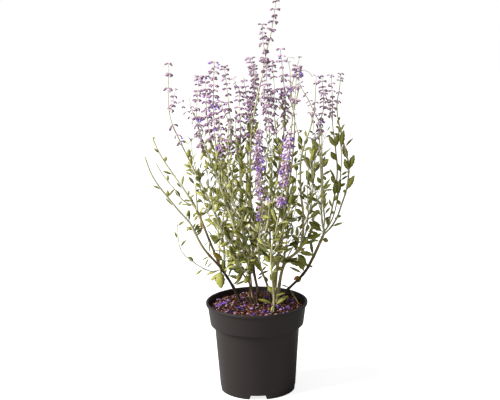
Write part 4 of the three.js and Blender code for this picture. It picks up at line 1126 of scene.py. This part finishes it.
def studio_white():
    """The pale floor. The camera sees it lit from within, as a light table is, and the plant gets
    only the light that a grey-white floor gives back."""
    paint = Paint("studio_white", Specular_IOR_Level=0.0, Roughness=1.0)
    seen = paint.node("ShaderNodeLightPath", {}, {}, "Is Camera Ray")
    cloud = paint.noise(2, 2)
    paint.set("Base Color", paint.blend(cloud, "#bdbdbd", "#c2c2c2"))
    glow = paint.node("ShaderNodeEmission", {}, {"Color": (1, 1, 1, 1), "Strength": FLOOR_GLOW})
    both = paint.node("ShaderNodeAddShader", {}, {0: Socket(paint, paint.shader.outputs[0]), 1: glow})
    surface = paint.node(
        "ShaderNodeMixShader", {}, {0: seen, 1: Socket(paint, paint.shader.outputs[0]), 2: both})
    paint.feed(paint.tree.nodes["Material Output"].inputs["Surface"], surface)
    return paint.material


POT_PLASTIC = pot_plastic()
SOIL = potting_soil()
BARK = bark_chips()
STEM = stem_bark()
LEAF = leaf_skin()
CALYX = calyx_down()
PETAL = petal_violet()
DRY = dry_skin()


# Pot

def rounded(corners, steps=5):
    """An outline with round corners. A corner is (radius, height, fillet), and each fillet is an arc
    drawn as the quadratic curve between its two ends, pulled to the corner."""
    points = []
    count = len(corners)
    for k, (x, z, fillet) in enumerate(corners):
        here = np.array([x, z], float)
        if fillet == 0 or k in (0, count - 1):
            points.append(here)
            continue
        before = unit(np.array(corners[k - 1][:2]) - here) * fillet
        after = unit(np.array(corners[k + 1][:2]) - here) * fillet
        for t in np.linspace(0, 1, steps):
            points.append(here + before * (1 - t) ** 2 + after * t ** 2)
    return np.array(points)


def lathe(profile, sides):
    """A profile of (radius, height) turned about the pot's axis, as rings with caps."""
    return (profile[:, 0, None, None] * level_ring(sides) + profile[:, 1, None, None] * UP)[None]


def pot_outline():
    """The pot's section, from the middle of its underside round the rim to the middle of its floor."""
    rim_foot = POT_HEIGHT - RIM_DEPTH
    ledge = COLLAR_FOOT_HEIGHT - COLLAR_LEDGE
    foot_inner = BASE_RADIUS - FOOT_RING_WIDTH
    return rounded([
        (0.5, FLOOR_HEIGHT - POT_WALL, 0),
        (foot_inner - 1, FLOOR_HEIGHT - POT_WALL, 1.5),
        (foot_inner, 0, 0.8),
        (BASE_RADIUS, 0, 1.2),
        (BODY_TOP_RADIUS, ledge, 1.2),
        (COLLAR_FOOT_RADIUS, ledge, 1.6),
        (COLLAR_TOP_RADIUS, rim_foot, 0.9),
        (RIM_RADIUS, rim_foot + 0.3, 0.9),
        (RIM_RADIUS + 0.2, POT_HEIGHT, 1.2),
        (COLLAR_TOP_RADIUS - POT_WALL + 0.4, POT_HEIGHT, 0.9),
        (COLLAR_TOP_RADIUS - POT_WALL, rim_foot, 1),
        (COLLAR_FOOT_RADIUS - POT_WALL, ledge + POT_WALL, 1.2),
        (BODY_TOP_RADIUS - POT_WALL, ledge - POT_WALL, 1.2),
        (BASE_RADIUS - POT_WALL + 0.6, FLOOR_HEIGHT, 1.5),
        (0.5, FLOOR_HEIGHT, 0),
    ])


def foot_cutters():
    """Wedges for the notches in the foot ring, and pins for the drain holes."""
    cutters = Piece("foot_cutters")
    corners = np.array([(-NOTCH_FOOT_WIDTH / 2, -1), (NOTCH_FOOT_WIDTH / 2, -1),
                        (NOTCH_TOP_WIDTH / 2, NOTCH_HEIGHT), (-NOTCH_TOP_WIDTH / 2, NOTCH_HEIGHT)])
    for k in range(NOTCH_COUNT):
        turn = k * 2 * math.pi / NOTCH_COUNT
        out = np.array([math.cos(turn), math.sin(turn), 0])
        side = np.array([-math.sin(turn), math.cos(turn), 0])
        outline = corners[:, :1] * side + corners[:, 1:] * UP
        rings = np.stack([outline + out * (BASE_RADIUS + way) for way in (-NOTCH_REACH, NOTCH_REACH)])
        cutters.add(rings[None])
    circle = level_ring(DRAIN_SIDES) * DRAIN_RADIUS
    for k in range(DRAIN_COUNT):
        turn = (k + 0.5) * 2 * math.pi / DRAIN_COUNT
        centre = DRAIN_CIRCLE_RADIUS * np.array([math.cos(turn), math.sin(turn), 0])
        rings = np.stack([circle + centre + UP * height for height in (1, 2 * FLOOR_HEIGHT)])
        cutters.add(rings[None])
    return cutters


def make_pot():
    """The outline turned on a lathe, less the notches and the drain holes."""
    shell = Piece("nursery_pot")
    shell.add(lathe(pot_outline(), POT_SIDES))
    pot = shell.make(POT_PLASTIC, "pot_plastic", "pot")
    cutters = foot_cutters()
    mesh = bpy.data.meshes.new("foot_cutters")
    mesh.from_pydata(np.vstack(cutters.points) * MM, [], cutters.faces)
    tool = bpy.data.objects.new("foot_cutters", mesh)
    bpy.context.scene.collection.objects.link(tool)
    cut = pot.modifiers.new("cut", "BOOLEAN")
    cut.object = tool
    cut.operation = "DIFFERENCE"
    cut.solver = "EXACT"
    bpy.context.view_layer.update()
    evaluated = pot.evaluated_get(bpy.context.evaluated_depsgraph_get())
    finished = bpy.data.meshes.new_from_object(evaluated)
    pot.modifiers.clear()
    pot.data = finished
    finished.set_sharp_from_angle(angle=SHARP_EDGE)
    bpy.data.objects.remove(tool)


# Soil, crown and what lies on the soil

def soil_height(x, y):
    """The soil's surface: a mound that falls with the square of the distance from the axis, with
    lumps."""
    reach = np.hypot(x, y) / SOIL_RADIUS
    spots = np.stack([x, y, np.zeros_like(x)], -1)
    return SOIL_EDGE_HEIGHT + SOIL_MOUND * (1 - reach ** 2) + lumps(spots, SOIL_LUMPS)


def on_soil(spots, lift):
    """Points that lie lift above the soil's surface."""
    return np.column_stack([spots, soil_height(spots[:, 0], spots[:, 1]) + lift])


def make_soil():
    """A disc of rings. The top follows soil_height, and the underside is hidden in the pot."""
    reach = np.concatenate([[0.3], np.linspace(2, SOIL_RADIUS, SOIL_RINGS)])
    angle = ring_angles(SOIL_SIDES)
    x = reach[::-1, None] * np.cos(angle)
    y = reach[::-1, None] * np.sin(angle)
    top = np.stack([x, y, soil_height(x, y)], -1)
    inner = POT_WALL + SOIL_GAP
    below = [
        (0.5, FLOOR_HEIGHT + SOIL_GAP),
        (BASE_RADIUS - inner, FLOOR_HEIGHT + SOIL_GAP),
        (BODY_TOP_RADIUS - inner, COLLAR_FOOT_HEIGHT - 3),
        (COLLAR_FOOT_RADIUS - inner, COLLAR_FOOT_HEIGHT + 4),
    ]
    walls = lathe(np.array(below, float), SOIL_SIDES)[0]
    piece = Piece("potting_soil")
    piece.add(np.concatenate([walls, top])[None])
    return piece.make(SOIL, "soil", "soil")


def scattered(count, rng):
    """Random spots on the soil, evenly spread over the disc."""
    radius = LITTER_RADIUS * np.sqrt(rng.uniform(0, 1, count))
    angle = rng.uniform(0, 2 * math.pi, count)
    return np.stack([radius * np.cos(angle), radius * np.sin(angle)], -1)


# A bark bit's rings: their places along it and their radii, as shares of its size
CHIP_PLACES = np.array([-0.5, 0.0, 0.5])
CHIP_RADII = np.array([0.3, 0.5, 0.25])
CHIP_SIDES = 5


def chip_shapes(centre, size, rng):
    """Bark bits: rings about a random axis, each point pushed in or out by chance."""
    count = len(centre)
    axis = unit(rng.normal(size=(count, 3)) * (1, 1, 0.5))
    side = unit(np.cross(axis, UP + 0.01))
    ways = ring_ways(side, np.cross(axis, side), CHIP_SIDES)
    offsets = CHIP_PLACES[None, :, None, None] * size[:, None, None, None]
    pushed = rng.uniform(0.5, 1.1, (count, len(CHIP_PLACES), CHIP_SIDES))
    widths = CHIP_RADII[None, :, None] * pushed
    thin = rng.uniform(0.35, 0.8, count)[:, None, None]
    reach = widths * size[:, None, None] * thin
    return (
        centre[:, None, None, :] + offsets * axis[:, None, None, :]
        + reach[..., None] * ways[:, None, :, :]
    )


def make_bark():
    """Bits of bark strewn over the soil, each sunk a little."""
    rng = np.random.default_rng(11)
    spots = scattered(BARK_CHIP_COUNT, rng)
    size = rng.uniform(*BARK_CHIP_SIZE, len(spots))
    shape = chip_shapes(on_soil(spots, BARK_CHIP_LIFT * size), size, rng)
    piece = Piece("bark_chips")
    piece.add(shape, tint=rng.uniform(0, 1, len(spots)) ** 1.3)
    piece.make(BARK, "soil")


# Where dropped flowers lie thick: x, y, spread, count
FLOWER_PATCHES = [(12, -46, 6, 7), (-30, -20, 12, 6), (-62, 4, 9, 5), (-12, -58, 8, 4),
                  (34, -20, 10, 4), (58, -32, 14, 8), (40, 48, 12, 8), (70, 20, 8, 4),
                  (-50, -44, 9, 4), (-30, 36, 10, 4), (22, 40, 14, 6), (-75, -14, 6, 3)]


def make_fallen_flowers():
    """Dropped violet flowers lie on the soil in patches, with a few paler calyces."""
    rng = np.random.default_rng(21)
    spots = [scattered(LOOSE_FLOWER_COUNT, rng)]
    for x, y, spread, count in FLOWER_PATCHES:
        spots.append(rng.normal((x, y), spread * 0.55, (count, 2)))
    spots = np.vstack(spots)
    spots = spots[np.hypot(spots[:, 0], spots[:, 1]) < PATCH_RADIUS]
    base = on_soil(spots, LOOSE_FLOWER_LIFT)
    along = unit(rng.normal(size=base.shape) * (1, 1, 0.35) + (0, 0, 0.25))
    down = unit(rng.normal(size=base.shape))
    sizes = [rng.uniform(*span, len(base)) for span in FALLEN_FLOWER_RANGES]
    make_horns("fallen_flowers", COROLLA, PETAL, base, along, down, *sizes)
    base = on_soil(scattered(LOOSE_CALYX_COUNT, rng), LOOSE_CALYX_LIFT)
    along = unit(rng.normal(size=base.shape) * (1, 1, 0.3))
    sizes = [rng.uniform(*span, len(base)) for span in FALLEN_CALYX_RANGES]
    make_horns("fallen_calyces", BELL, CALYX, base, along, -UP + 0.01 * along, *sizes)


# Old stems cut short: foot, how far each leans and rises, and its girth
CROWN_STUBS = [
    ((2, 4, 158), (-1, -2, 30), 2.6), ((7, 7, 158), (4, 0, 24), 2.3), ((-6, 6, 158), (-7, 0, 19), 2.4),
    ((12, 14, 158), (5, 6, 28), 2), ((-12, 14, 158), (-10, 3, 15), 2.1), ((3, 20, 158), (0, 8, 33), 2.2),
    ((20, 20, 158), (8, 3, 17), 1.9), ((-2, -2, 156), (-2, -8, 12), 1.8),
    ((10, -2, 156), (5, -8, 14), 1.7),
]


# A stub's rings: their places along it and their radii, as shares of its girth
STUB_PLACES = np.array([0, 0.2, 0.45, 0.7, 0.9, 0.97, 1])
STUB_RADII = np.array([1.35, 1.1, 1, 0.92, 0.95, 0.8, 0.3])


def make_crown():
    """Knotted wood: a low lump, flattened and rippled, that the stem feet sit in."""
    slope = np.linspace(0.02, 1, CROWN_RINGS)[::-1, None] * math.pi / 2
    angle = ring_angles(CROWN_SIDES)
    x = CROWN_CENTRE[0] + CROWN_RADII[0] * np.sin(slope) * np.cos(angle)
    y = CROWN_CENTRE[1] + CROWN_RADII[1] * np.sin(slope) * np.sin(angle)
    z = np.broadcast_to(CROWN_TOP - CROWN_DROP * (1 - np.cos(slope)) ** 1.2, x.shape)
    rings = np.stack([x, y, z], -1)
    rings = rings + UP * lumps(rings, CROWN_LUMPS)[..., None]
    piece = Piece("woody_crown")
    piece.add(rings[None], youth=0.0)
    for foot, lean, girth in CROWN_STUBS:
        middle = np.add(foot, np.multiply(lean, 0.55)) + (0.6, -0.4, 0)
        stub = Route([foot, middle, np.add(foot, lean)])
        piece.add(tube(stub, STUB_PLACES, girth * STUB_RADII, 9, 0.07), youth=0.02)
    piece.make(STEM, "old_wood", "root_crown")


# Leaves and flowers, gathered before they are made

def fits(point):
    """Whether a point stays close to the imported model's box."""
    low, high = np.array(CAD_BOX) / MM
    room = BOX_SHARE * (high - low) + BOX_MARGIN
    return bool(np.all(point > low - room) and np.all(point < high + room))


class Leaves:
    """A list of leaves that become one piece."""

    def __init__(self):
        self.rows = []

    def add(self, base, along, face, length, width, curl, fold, tint, dry=0.0):
        """A leaf by its foot, the way it leaves, its upper side and its sizes."""
        along = unit(along)
        face = unit(face - along * np.dot(face, along))
        if fits(base + along * length):
            self.rows.append((base, along, face, length, width, curl, fold, tint, dry))

    def reach(self, base, tip, width, curl, fold, tint, dry=0.0):
        """A leaf between two points, with its face to the light."""
        chord = unit(np.subtract(tip, base))
        face = unit(PLACED_LEAVES_FACE - chord * np.dot(PLACED_LEAVES_FACE, chord))
        along = chord * math.cos(curl / 2) + face * math.sin(curl / 2)
        length = np.linalg.norm(np.subtract(tip, base)) * (curl / 2) / math.sin(curl / 2)
        self.add(np.array(base, float), along, face, length, width, curl, fold, tint, dry)

    def make(self, name, material, slot, *replaced):
        """All leaves as one piece, if there are any."""
        if not self.rows:
            return
        base, along, face, length, width, curl, fold, tint, dry = map(np.array, zip(*self.rows))
        shape = leaf_shapes(base, along, face, length, width, curl, fold)
        piece = Piece(name)
        piece.add(
            shape, tint=tint, dry=dry, across=np.abs(LEAF_ACROSS)[None, None, :],
            along=LEAF_STATIONS[None, :, None], under=(LEAF_UP < 0)[None, None, :])
        piece.make(material, slot, *replaced)


class Bells:
    """A list of calyces or corollas that become one piece."""

    def __init__(self, form):
        self.form = form
        self.rows = []

    def add(self, base, along, length, width, droop, tint):
        """A flower part by its foot, the way it leaves and its sizes."""
        if fits(base + along * length):
            self.rows.append((base, unit(along), length, width, droop, tint))

    def make(self, name, material, *replaced):
        """All flower parts as one piece, if there are any."""
        if not self.rows:
            return
        base, along, *sizes = map(np.array, zip(*self.rows))
        down = np.broadcast_to(HANG, base.shape)
        make_horns(name, self.form, material, base, along, down, *sizes, replaced)


def stem_rings(row, route, joints):
    """Radius along a stem: an even taper, thin among the flowers, a flare at the foot and a swelling
    at each leaf pair."""
    shares = np.linspace(0, 1, max(8, int(route.length / STEM_RING_SPACING)))
    foot, tip = row["radii"]
    radii = foot + (tip - foot) * shares
    if "spike" in row:
        flowering = 1 - row["spike"] / route.length
        below = flowering - SPIKE_TAPER
        radii = np.minimum(radii, np.interp(shares, [below, flowering, 1], SPIKE_RADII))
        leafy = foot + (RADIUS_BELOW_SPIKE - foot) * shares / below
        radii = np.where(shares < below, leafy, radii)
    height = route.at(shares)[:, 2]
    flare = WOODY_FLARE if row["woody"] else YOUNG_FLARE
    above_soil = np.clip(height - SOIL_EDGE_HEIGHT, 0, None)
    radii = radii * (1 + flare * np.exp(-above_soil / FLARE_HEIGHT))
    if "knot" in row:
        middle, thicker, reach = row["knot"]
        radii = radii + thicker * np.exp(-((height - middle) / reach) ** 2)
    for joint in joints:
        away = (shares - joint) * route.length / JOINT_REACH
        radii = radii + JOINT_SWELLING * np.exp(-away ** 2)
    return shares, radii


def youth_of(row, height):
    """How young the bark is at a height: 0 on old wood, 1 on this year's growth."""
    if row["woody"] == 0:
        return np.full_like(height, row["youth"])
    return np.clip(0.5 + (height - row["woody"]) / row["greening"], 0, YOUNGEST_BARK)


def pair_side(heading, turn):
    """A direction square to a stem, turned about it."""
    level = unit(np.cross(heading, FRONT + 0.1 * UP))
    return turned(level, heading, turn)


def add_leaf(leaves, rng, base, heading, out, length, slim, tilt, tint, dry=0.0):
    """A leaf whose stalk leaves its stem at tilt. Its face turns part of the way to the light."""
    along = unit(heading * math.cos(tilt) + out * math.sin(tilt))
    face = heading * math.sin(tilt) - out * math.cos(tilt)
    face = unit(face * FACE_BY_STEM + FACE_BY_LIGHT * unit(LIT_FROM) + rng.normal(0, FACE_BY_CHANCE, 3))
    width = length * slim * rng.uniform(*LEAF_WIDTH_RANGE)
    curl = rng.uniform(*LEAF_CURL)
    fold = rng.uniform(*LEAF_FOLD)
    tint = np.clip(tint + rng.normal(0, TINT_SPREAD), 0, 1)
    leaves.add(base + out * LEAF_STALK, along, face, length, width, curl, fold, tint, dry)


def add_leaf_pair(leaves, rng, base, heading, turn, length, slim, tilt, tint, dry=0.0):
    """Two leaves on opposite sides of a stem."""
    for flip in (0, math.pi):
        out = pair_side(heading, turn + flip + rng.normal(0, 0.3))
        add_leaf(
            leaves, rng, base, heading, out, length * rng.uniform(*PAIR_LENGTH_RANGE), slim,
            tilt + rng.normal(0, 0.15), tint, dry if rng.uniform() < dry else 0.0)


def add_leafy_twig(leaves, stems, rng, base, along, length, leaf, tint, youth):
    """A side twig with pairs of leaves and one at its tip."""
    middle = base + along * length * 0.5 - UP * length * 0.04
    tip = base + along * length + UP * length * 0.2
    if not fits(tip + (tip - base) * 0.2):
        return
    twig = Route([base, middle, tip])
    shares = np.linspace(0, 1, TWIG_RINGS)
    stems.add(tube(twig, shares, 0.75 - 0.35 * shares, TWIG_SIDES), youth=youth)
    pairs = max(1, int(length / 20))
    start = rng.uniform(0, math.pi)
    for k in range(pairs):
        share = (k + 0.8) / (pairs + 0.3)
        add_leaf_pair(
            leaves, rng, twig.at(share), twig.heading(share), start + k * math.pi / 2,
            leaf * (1.1 - 0.35 * share), 0.31, 0.6, tint + 0.08 * share)
    out = pair_side(twig.heading(1), rng.uniform(0, 2 * math.pi))
    add_leaf(leaves, rng, tip, twig.heading(1), out, leaf * 0.8, 0.34, 0.15, tint + 0.08)


def grow_leaves(row, route, rng, leaves, stems):
    """Leaf pairs up the leafy stretch, a quarter turn apart. From the foot of many of them grows a
    twig, or two small young leaves that stand close to the stem."""
    share, end = (route.share_at_height(height) for height in row["leafy"])
    spacing = row["joint"] / route.length
    joints = []
    while share < end:
        joints.append(share)
        share += spacing * rng.uniform(*GAP_RANGE)
    turn = rng.uniform(0, math.pi)
    for joint in joints:
        place = route.at(joint)
        heading = route.heading(joint)
        height = place[2]
        turn += math.pi / 2 + rng.normal(0, 0.2)
        size = row["leaf"] * np.interp(height, *LEAF_SIZE)
        tint = row.get("tint", np.interp(height, *LEAF_TINT)) + rng.normal(0, 0.1)
        slim = row.get("slim", np.interp(height, *LEAF_SLIM))
        tilt = np.interp(height, *LEAF_TILT)
        dry = float(np.interp(height, *DRY_SHARE))
        add_leaf_pair(leaves, rng, place, heading, turn, size, slim, tilt, tint, dry)
        youth = float(youth_of(row, np.array([height]))[0])
        for flip in (0, math.pi):
            out = pair_side(heading, turn + flip + rng.normal(0, 0.3))
            if rng.uniform() < row["twigs"]:
                along = unit(out + heading * rng.uniform(1.0, 2.0) + UP * 0.3)
                length = rng.uniform(*TWIG_LENGTH) * np.interp(height, *TWIG_REACH)
                add_leafy_twig(leaves, stems, rng, place, along, length, size * 0.78, tint, youth)
            elif rng.uniform() < YOUNG_PAIR_SHARE:
                add_leaf(leaves, rng, place, heading, out, size * 0.5, 0.3, 0.3, tint + 0.1)
    return joints


def add_whorl(row, rng, calyces, petals, base, heading, turn, size, fullness, tip):
    """A ring of flowers: two opposite bunches that arch out and hang, as an umbrella."""
    near_violet = any(abs(base[2] - height) < VIOLET_REACH for height in row["violet"])
    share = VIOLET_SHARE if near_violet else row["petals"]
    for flip in (0, math.pi):
        flowers = max(1, int(round(fullness + rng.normal(0, 0.4))))
        for k in range(flowers):
            fan = (k - (flowers - 1) / 2) * FLOWER_FAN + rng.normal(0, 0.15)
            out = pair_side(heading, turn + flip + fan)
            lift = rng.normal(0.05 + 0.55 * tip, 0.22)
            along = unit(out + heading * lift)
            length = size * rng.uniform(*CALYX_LENGTH_RANGE)
            width = CALYX_WIDTH_SHARE * size * rng.uniform(*CALYX_WIDTH_RANGE)
            droop = rng.uniform(*CALYX_DROOP) * (1 - 0.25 * tip)
            shade = float(np.clip(rng.normal(row["tone"], 0.2), 0, 1))
            start = base + out * 0.3
            calyces.add(start, along, length, width, droop, shade)
            if rng.uniform() < share:
                add_petals(rng, petals, start, along, length, droop)


def add_petals(rng, petals, start, along, length, droop):
    """A corolla that stands out of a calyx's mouth."""
    lean = unit(HANG - along * np.dot(HANG, along))
    mouth = start + length * (along * math.sin(droop) + lean * (1 - math.cos(droop))) / droop
    face = along * math.cos(droop) + lean * math.sin(droop)
    petals.add(
        mouth - face * PETAL_INSIDE_CALYX, face, rng.uniform(*PETAL_LENGTH), rng.uniform(*PETAL_WIDTH),
        PETAL_DROOP, rng.uniform(0, 0.9))


def grow_spike(row, route, rng, calyces, petals, stems):
    """Whorls from the tip down, wider apart and larger lower down, with short side spikes there.
    A row may name the whorls' heights instead."""
    start = 1 - row["spike"] / route.length
    if "whorls" in row:
        shares = [route.share_at_height(height) for height in row["whorls"]]
    else:
        shares = [1.0]
        while shares[-1] > start:
            drop = (1 - shares[-1]) / (1 - start)
            wider = rng.uniform(*GAP_RANGE) * (0.7 + 0.45 * drop)
            shares.append(shares[-1] - row["gap"] / route.length * wider)
    turn = rng.uniform(0, math.pi)
    for share in shares:
        rise = float(np.clip((share - start) / (1 - start), 0, 1))
        place = route.at(share)
        heading = route.heading(share)
        size = row["bloom"] * (1.0 - 0.2 * rise) * rng.uniform(0.9, 1.1)
        turn += math.pi / 2 + rng.normal(0, 0.25)
        full = row["full"] * (1 - 0.25 * rise) * (0.5 if share < start - 0.02 else 1)
        add_whorl(row, rng, calyces, petals, place, heading, turn, size, full, rise)
        if rise < 0.6 and rng.uniform() < row["sides"]:
            out = pair_side(heading, turn + rng.uniform(0, 2 * math.pi))
            add_side_spike(row, rng, calyces, petals, stems, place, unit(out + heading * 1.3))


def add_side_spike(row, rng, calyces, petals, stems, base, along):
    """A thin twig of small whorls."""
    length = rng.uniform(*SIDE_SPIKE_LENGTH)
    tip = base + along * length + UP * length * 0.3
    if not fits(tip + (tip - base) * 0.3):
        return
    twig = Route([base, base + along * length * 0.55, tip])
    shares = np.linspace(0, 1, TWIG_RINGS)
    stems.add(tube(twig, shares, 0.5 - 0.2 * shares, TWIG_SIDES), youth=0.9)
    count = int(length / 7)
    for k in range(count):
        share = (k + 1) / count
        add_whorl(
            row, rng, calyces, petals, twig.at(share), twig.heading(share), k * math.pi / 2,
            row["bloom"] * (0.8 - 0.15 * share), 1.5, share)


def node_named(name):
    """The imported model's node of that name, in a list, or none where it has no such node."""
    return [name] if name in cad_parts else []


def make_stem(name, row, seed):
    """One stem with its bark, leaves and flowers."""
    row = {**USUAL, **row}
    rng = np.random.default_rng(seed)
    route = Route(row["route"])
    stems = Piece(f"{name}_stem")
    leaves = Leaves()
    calyces = Bells(BELL)
    petals = Bells(COROLLA)
    joints = grow_leaves(row, route, rng, leaves, stems) if "leafy" in row else []
    for height, tip, width, tint, *dry in BLADES.get(name, []):
        share = route.share_at_height(height)
        joints.append(share)
        curl = rng.uniform(0.2, 0.7)
        leaves.reach(route.at(share), tip, width, curl, rng.uniform(0.1, 0.35), tint, *dry)
    if "spike" in row:
        grow_spike(row, route, rng, calyces, petals, stems)
    shares, radii = stem_rings(row, route, joints)
    youth = youth_of(row, route.at(shares)[:, 2])
    stems.add(tube(route, shares, radii, STEM_SIDES, STEM_CORNERS), youth=youth[None, :, None])
    stems.make(STEM, "stem", *node_named(f"stem_{name}"))
    leaves.make(f"{name}_leaves", LEAF, "leaf", *node_named(f"leafy_shoot_{name}"))
    calyces.make(f"{name}_calyces", CALYX, *node_named(f"flower_spike_{name}"))
    petals.make(f"{name}_petals", PETAL)


# The leaves low on the plant that show on their own: node, stem, height of the foot, tip, width, curl,
# tint, dry, material and slot
SINGLE_LEAVES = [
    ("hanging_leaf", "left_arch", 231, (-66, -4, 196), 20, 0.5, 0.55, 0, LEAF, "pale_leaf"),
    ("dry_leaf", "right_brown", 206, (70, 24, 202), 9, 0.6, 0.5, 1, DRY, "dry_leaf"),
    ("low_front_leaf", "front_right", 176, (3, -48, 188), 7, 0.5, 0.38, 0.35, LEAF, "leaf"),
    ("low_right_leaf", "front_right", 173, (58, -46, 193), 10, 0.4, 0.52, 0.15, LEAF, "leaf"),
]
SINGLE_LEAF_FOLD = 0.3


def make_single_leaves():
    """Each single leaf as a piece of its own."""
    for node, stem, height, tip, width, curl, tint, dry, material, slot in SINGLE_LEAVES:
        route = Route(STEMS[stem]["route"])
        foot = route.at(route.share_at_height(height))
        leaf = Leaves()
        leaf.reach(foot, tip, width, curl, SINGLE_LEAF_FOLD, tint, dry)
        leaf.make(f"{node}_blade", material, slot, node)


# Camera, light and floor

def placed(x, y, z, spot):
    """The matrix that turns an object's axes to x, y and z and moves it to spot, in metres."""
    matrix = Matrix(np.column_stack([x, y, z]).tolist()).to_4x4()
    matrix.translation = spot
    return matrix


def make_camera():
    """The camera looks along +Y, turned by yaw, tipped down by pitch and rolled."""
    ahead = np.array([math.sin(CAMERA_YAW), math.cos(CAMERA_YAW), 0])
    right = np.array([math.cos(CAMERA_YAW), -math.sin(CAMERA_YAW), 0])
    forward = ahead * math.cos(CAMERA_PITCH) - UP * math.sin(CAMERA_PITCH)
    top = ahead * math.sin(CAMERA_PITCH) + UP * math.cos(CAMERA_PITCH)
    x = right * math.cos(CAMERA_ROLL) - top * math.sin(CAMERA_ROLL)
    y = right * math.sin(CAMERA_ROLL) + top * math.cos(CAMERA_ROLL)
    data = bpy.data.cameras.new("camera")
    data.lens = LENS_FOR_36_MM_SENSOR
    data.clip_end = CAMERA_RANGE_IN_METRES
    camera = bpy.data.objects.new("camera", data)
    bpy.context.scene.collection.objects.link(camera)
    camera.matrix_world = placed(x, y, -forward, (0, -CAMERA_DISTANCE * MM, CAMERA_HEIGHT * MM))
    bpy.context.scene.camera = camera


def add_key_light():
    """A round soft lamp, high on the left, that points at the plant."""
    data = bpy.data.lights.new("key", "AREA")
    data.shape = "DISK"
    data.size = KEY_SIZE
    data.energy = KEY_LIGHT
    light = bpy.data.objects.new("key", data)
    bpy.context.scene.collection.objects.link(light)
    back = unit(np.array(KEY_PLACE) - np.array(KEY_AIM))
    x = unit(np.cross(UP, back))
    light.matrix_world = placed(x, np.cross(back, x), back, KEY_PLACE)


def make_studio():
    """A pale floor, and surroundings that are white to the camera and dimmer as a light."""
    mesh = bpy.data.meshes.new("studio_floor")
    corners = np.array([(-1, -1, 0), (1, -1, 0), (1, 1, 0), (-1, 1, 0)], float) * FLOOR_HALF_WIDTH
    mesh.from_pydata(corners, [], [(0, 1, 2, 3)])
    mesh.materials.append(studio_white())
    floor = bpy.data.objects.new("studio_floor", mesh)
    bpy.context.scene.collection.objects.link(floor)
    world = bpy.data.worlds.new("studio")
    world.use_nodes = True
    tree = world.node_tree
    backdrop = tree.nodes["Background"]
    backdrop.inputs["Color"].default_value = (1, 1, 1, 1)
    seen = tree.nodes.new("ShaderNodeLightPath")
    strength = tree.nodes.new("ShaderNodeMapRange")
    strength.inputs["To Min"].default_value = FILL_LIGHT
    strength.inputs["To Max"].default_value = 1.0
    tree.links.new(seen.outputs["Is Camera Ray"], strength.inputs["Value"])
    tree.links.new(strength.outputs["Result"], backdrop.inputs["Strength"])
    bpy.context.scene.world = world
    add_key_light()
    bpy.context.scene.view_settings.view_transform = "Standard"


make_camera()
make_studio()
make_pot()
make_soil()
make_bark()
make_fallen_flowers()
make_crown()
for first_seed, table in ((100, STEMS), (200, BRANCHES)):
    for order, (stem_name, stem_row) in enumerate(table.items()):
        make_stem(stem_name, stem_row, first_seed + order)
make_single_leaves()
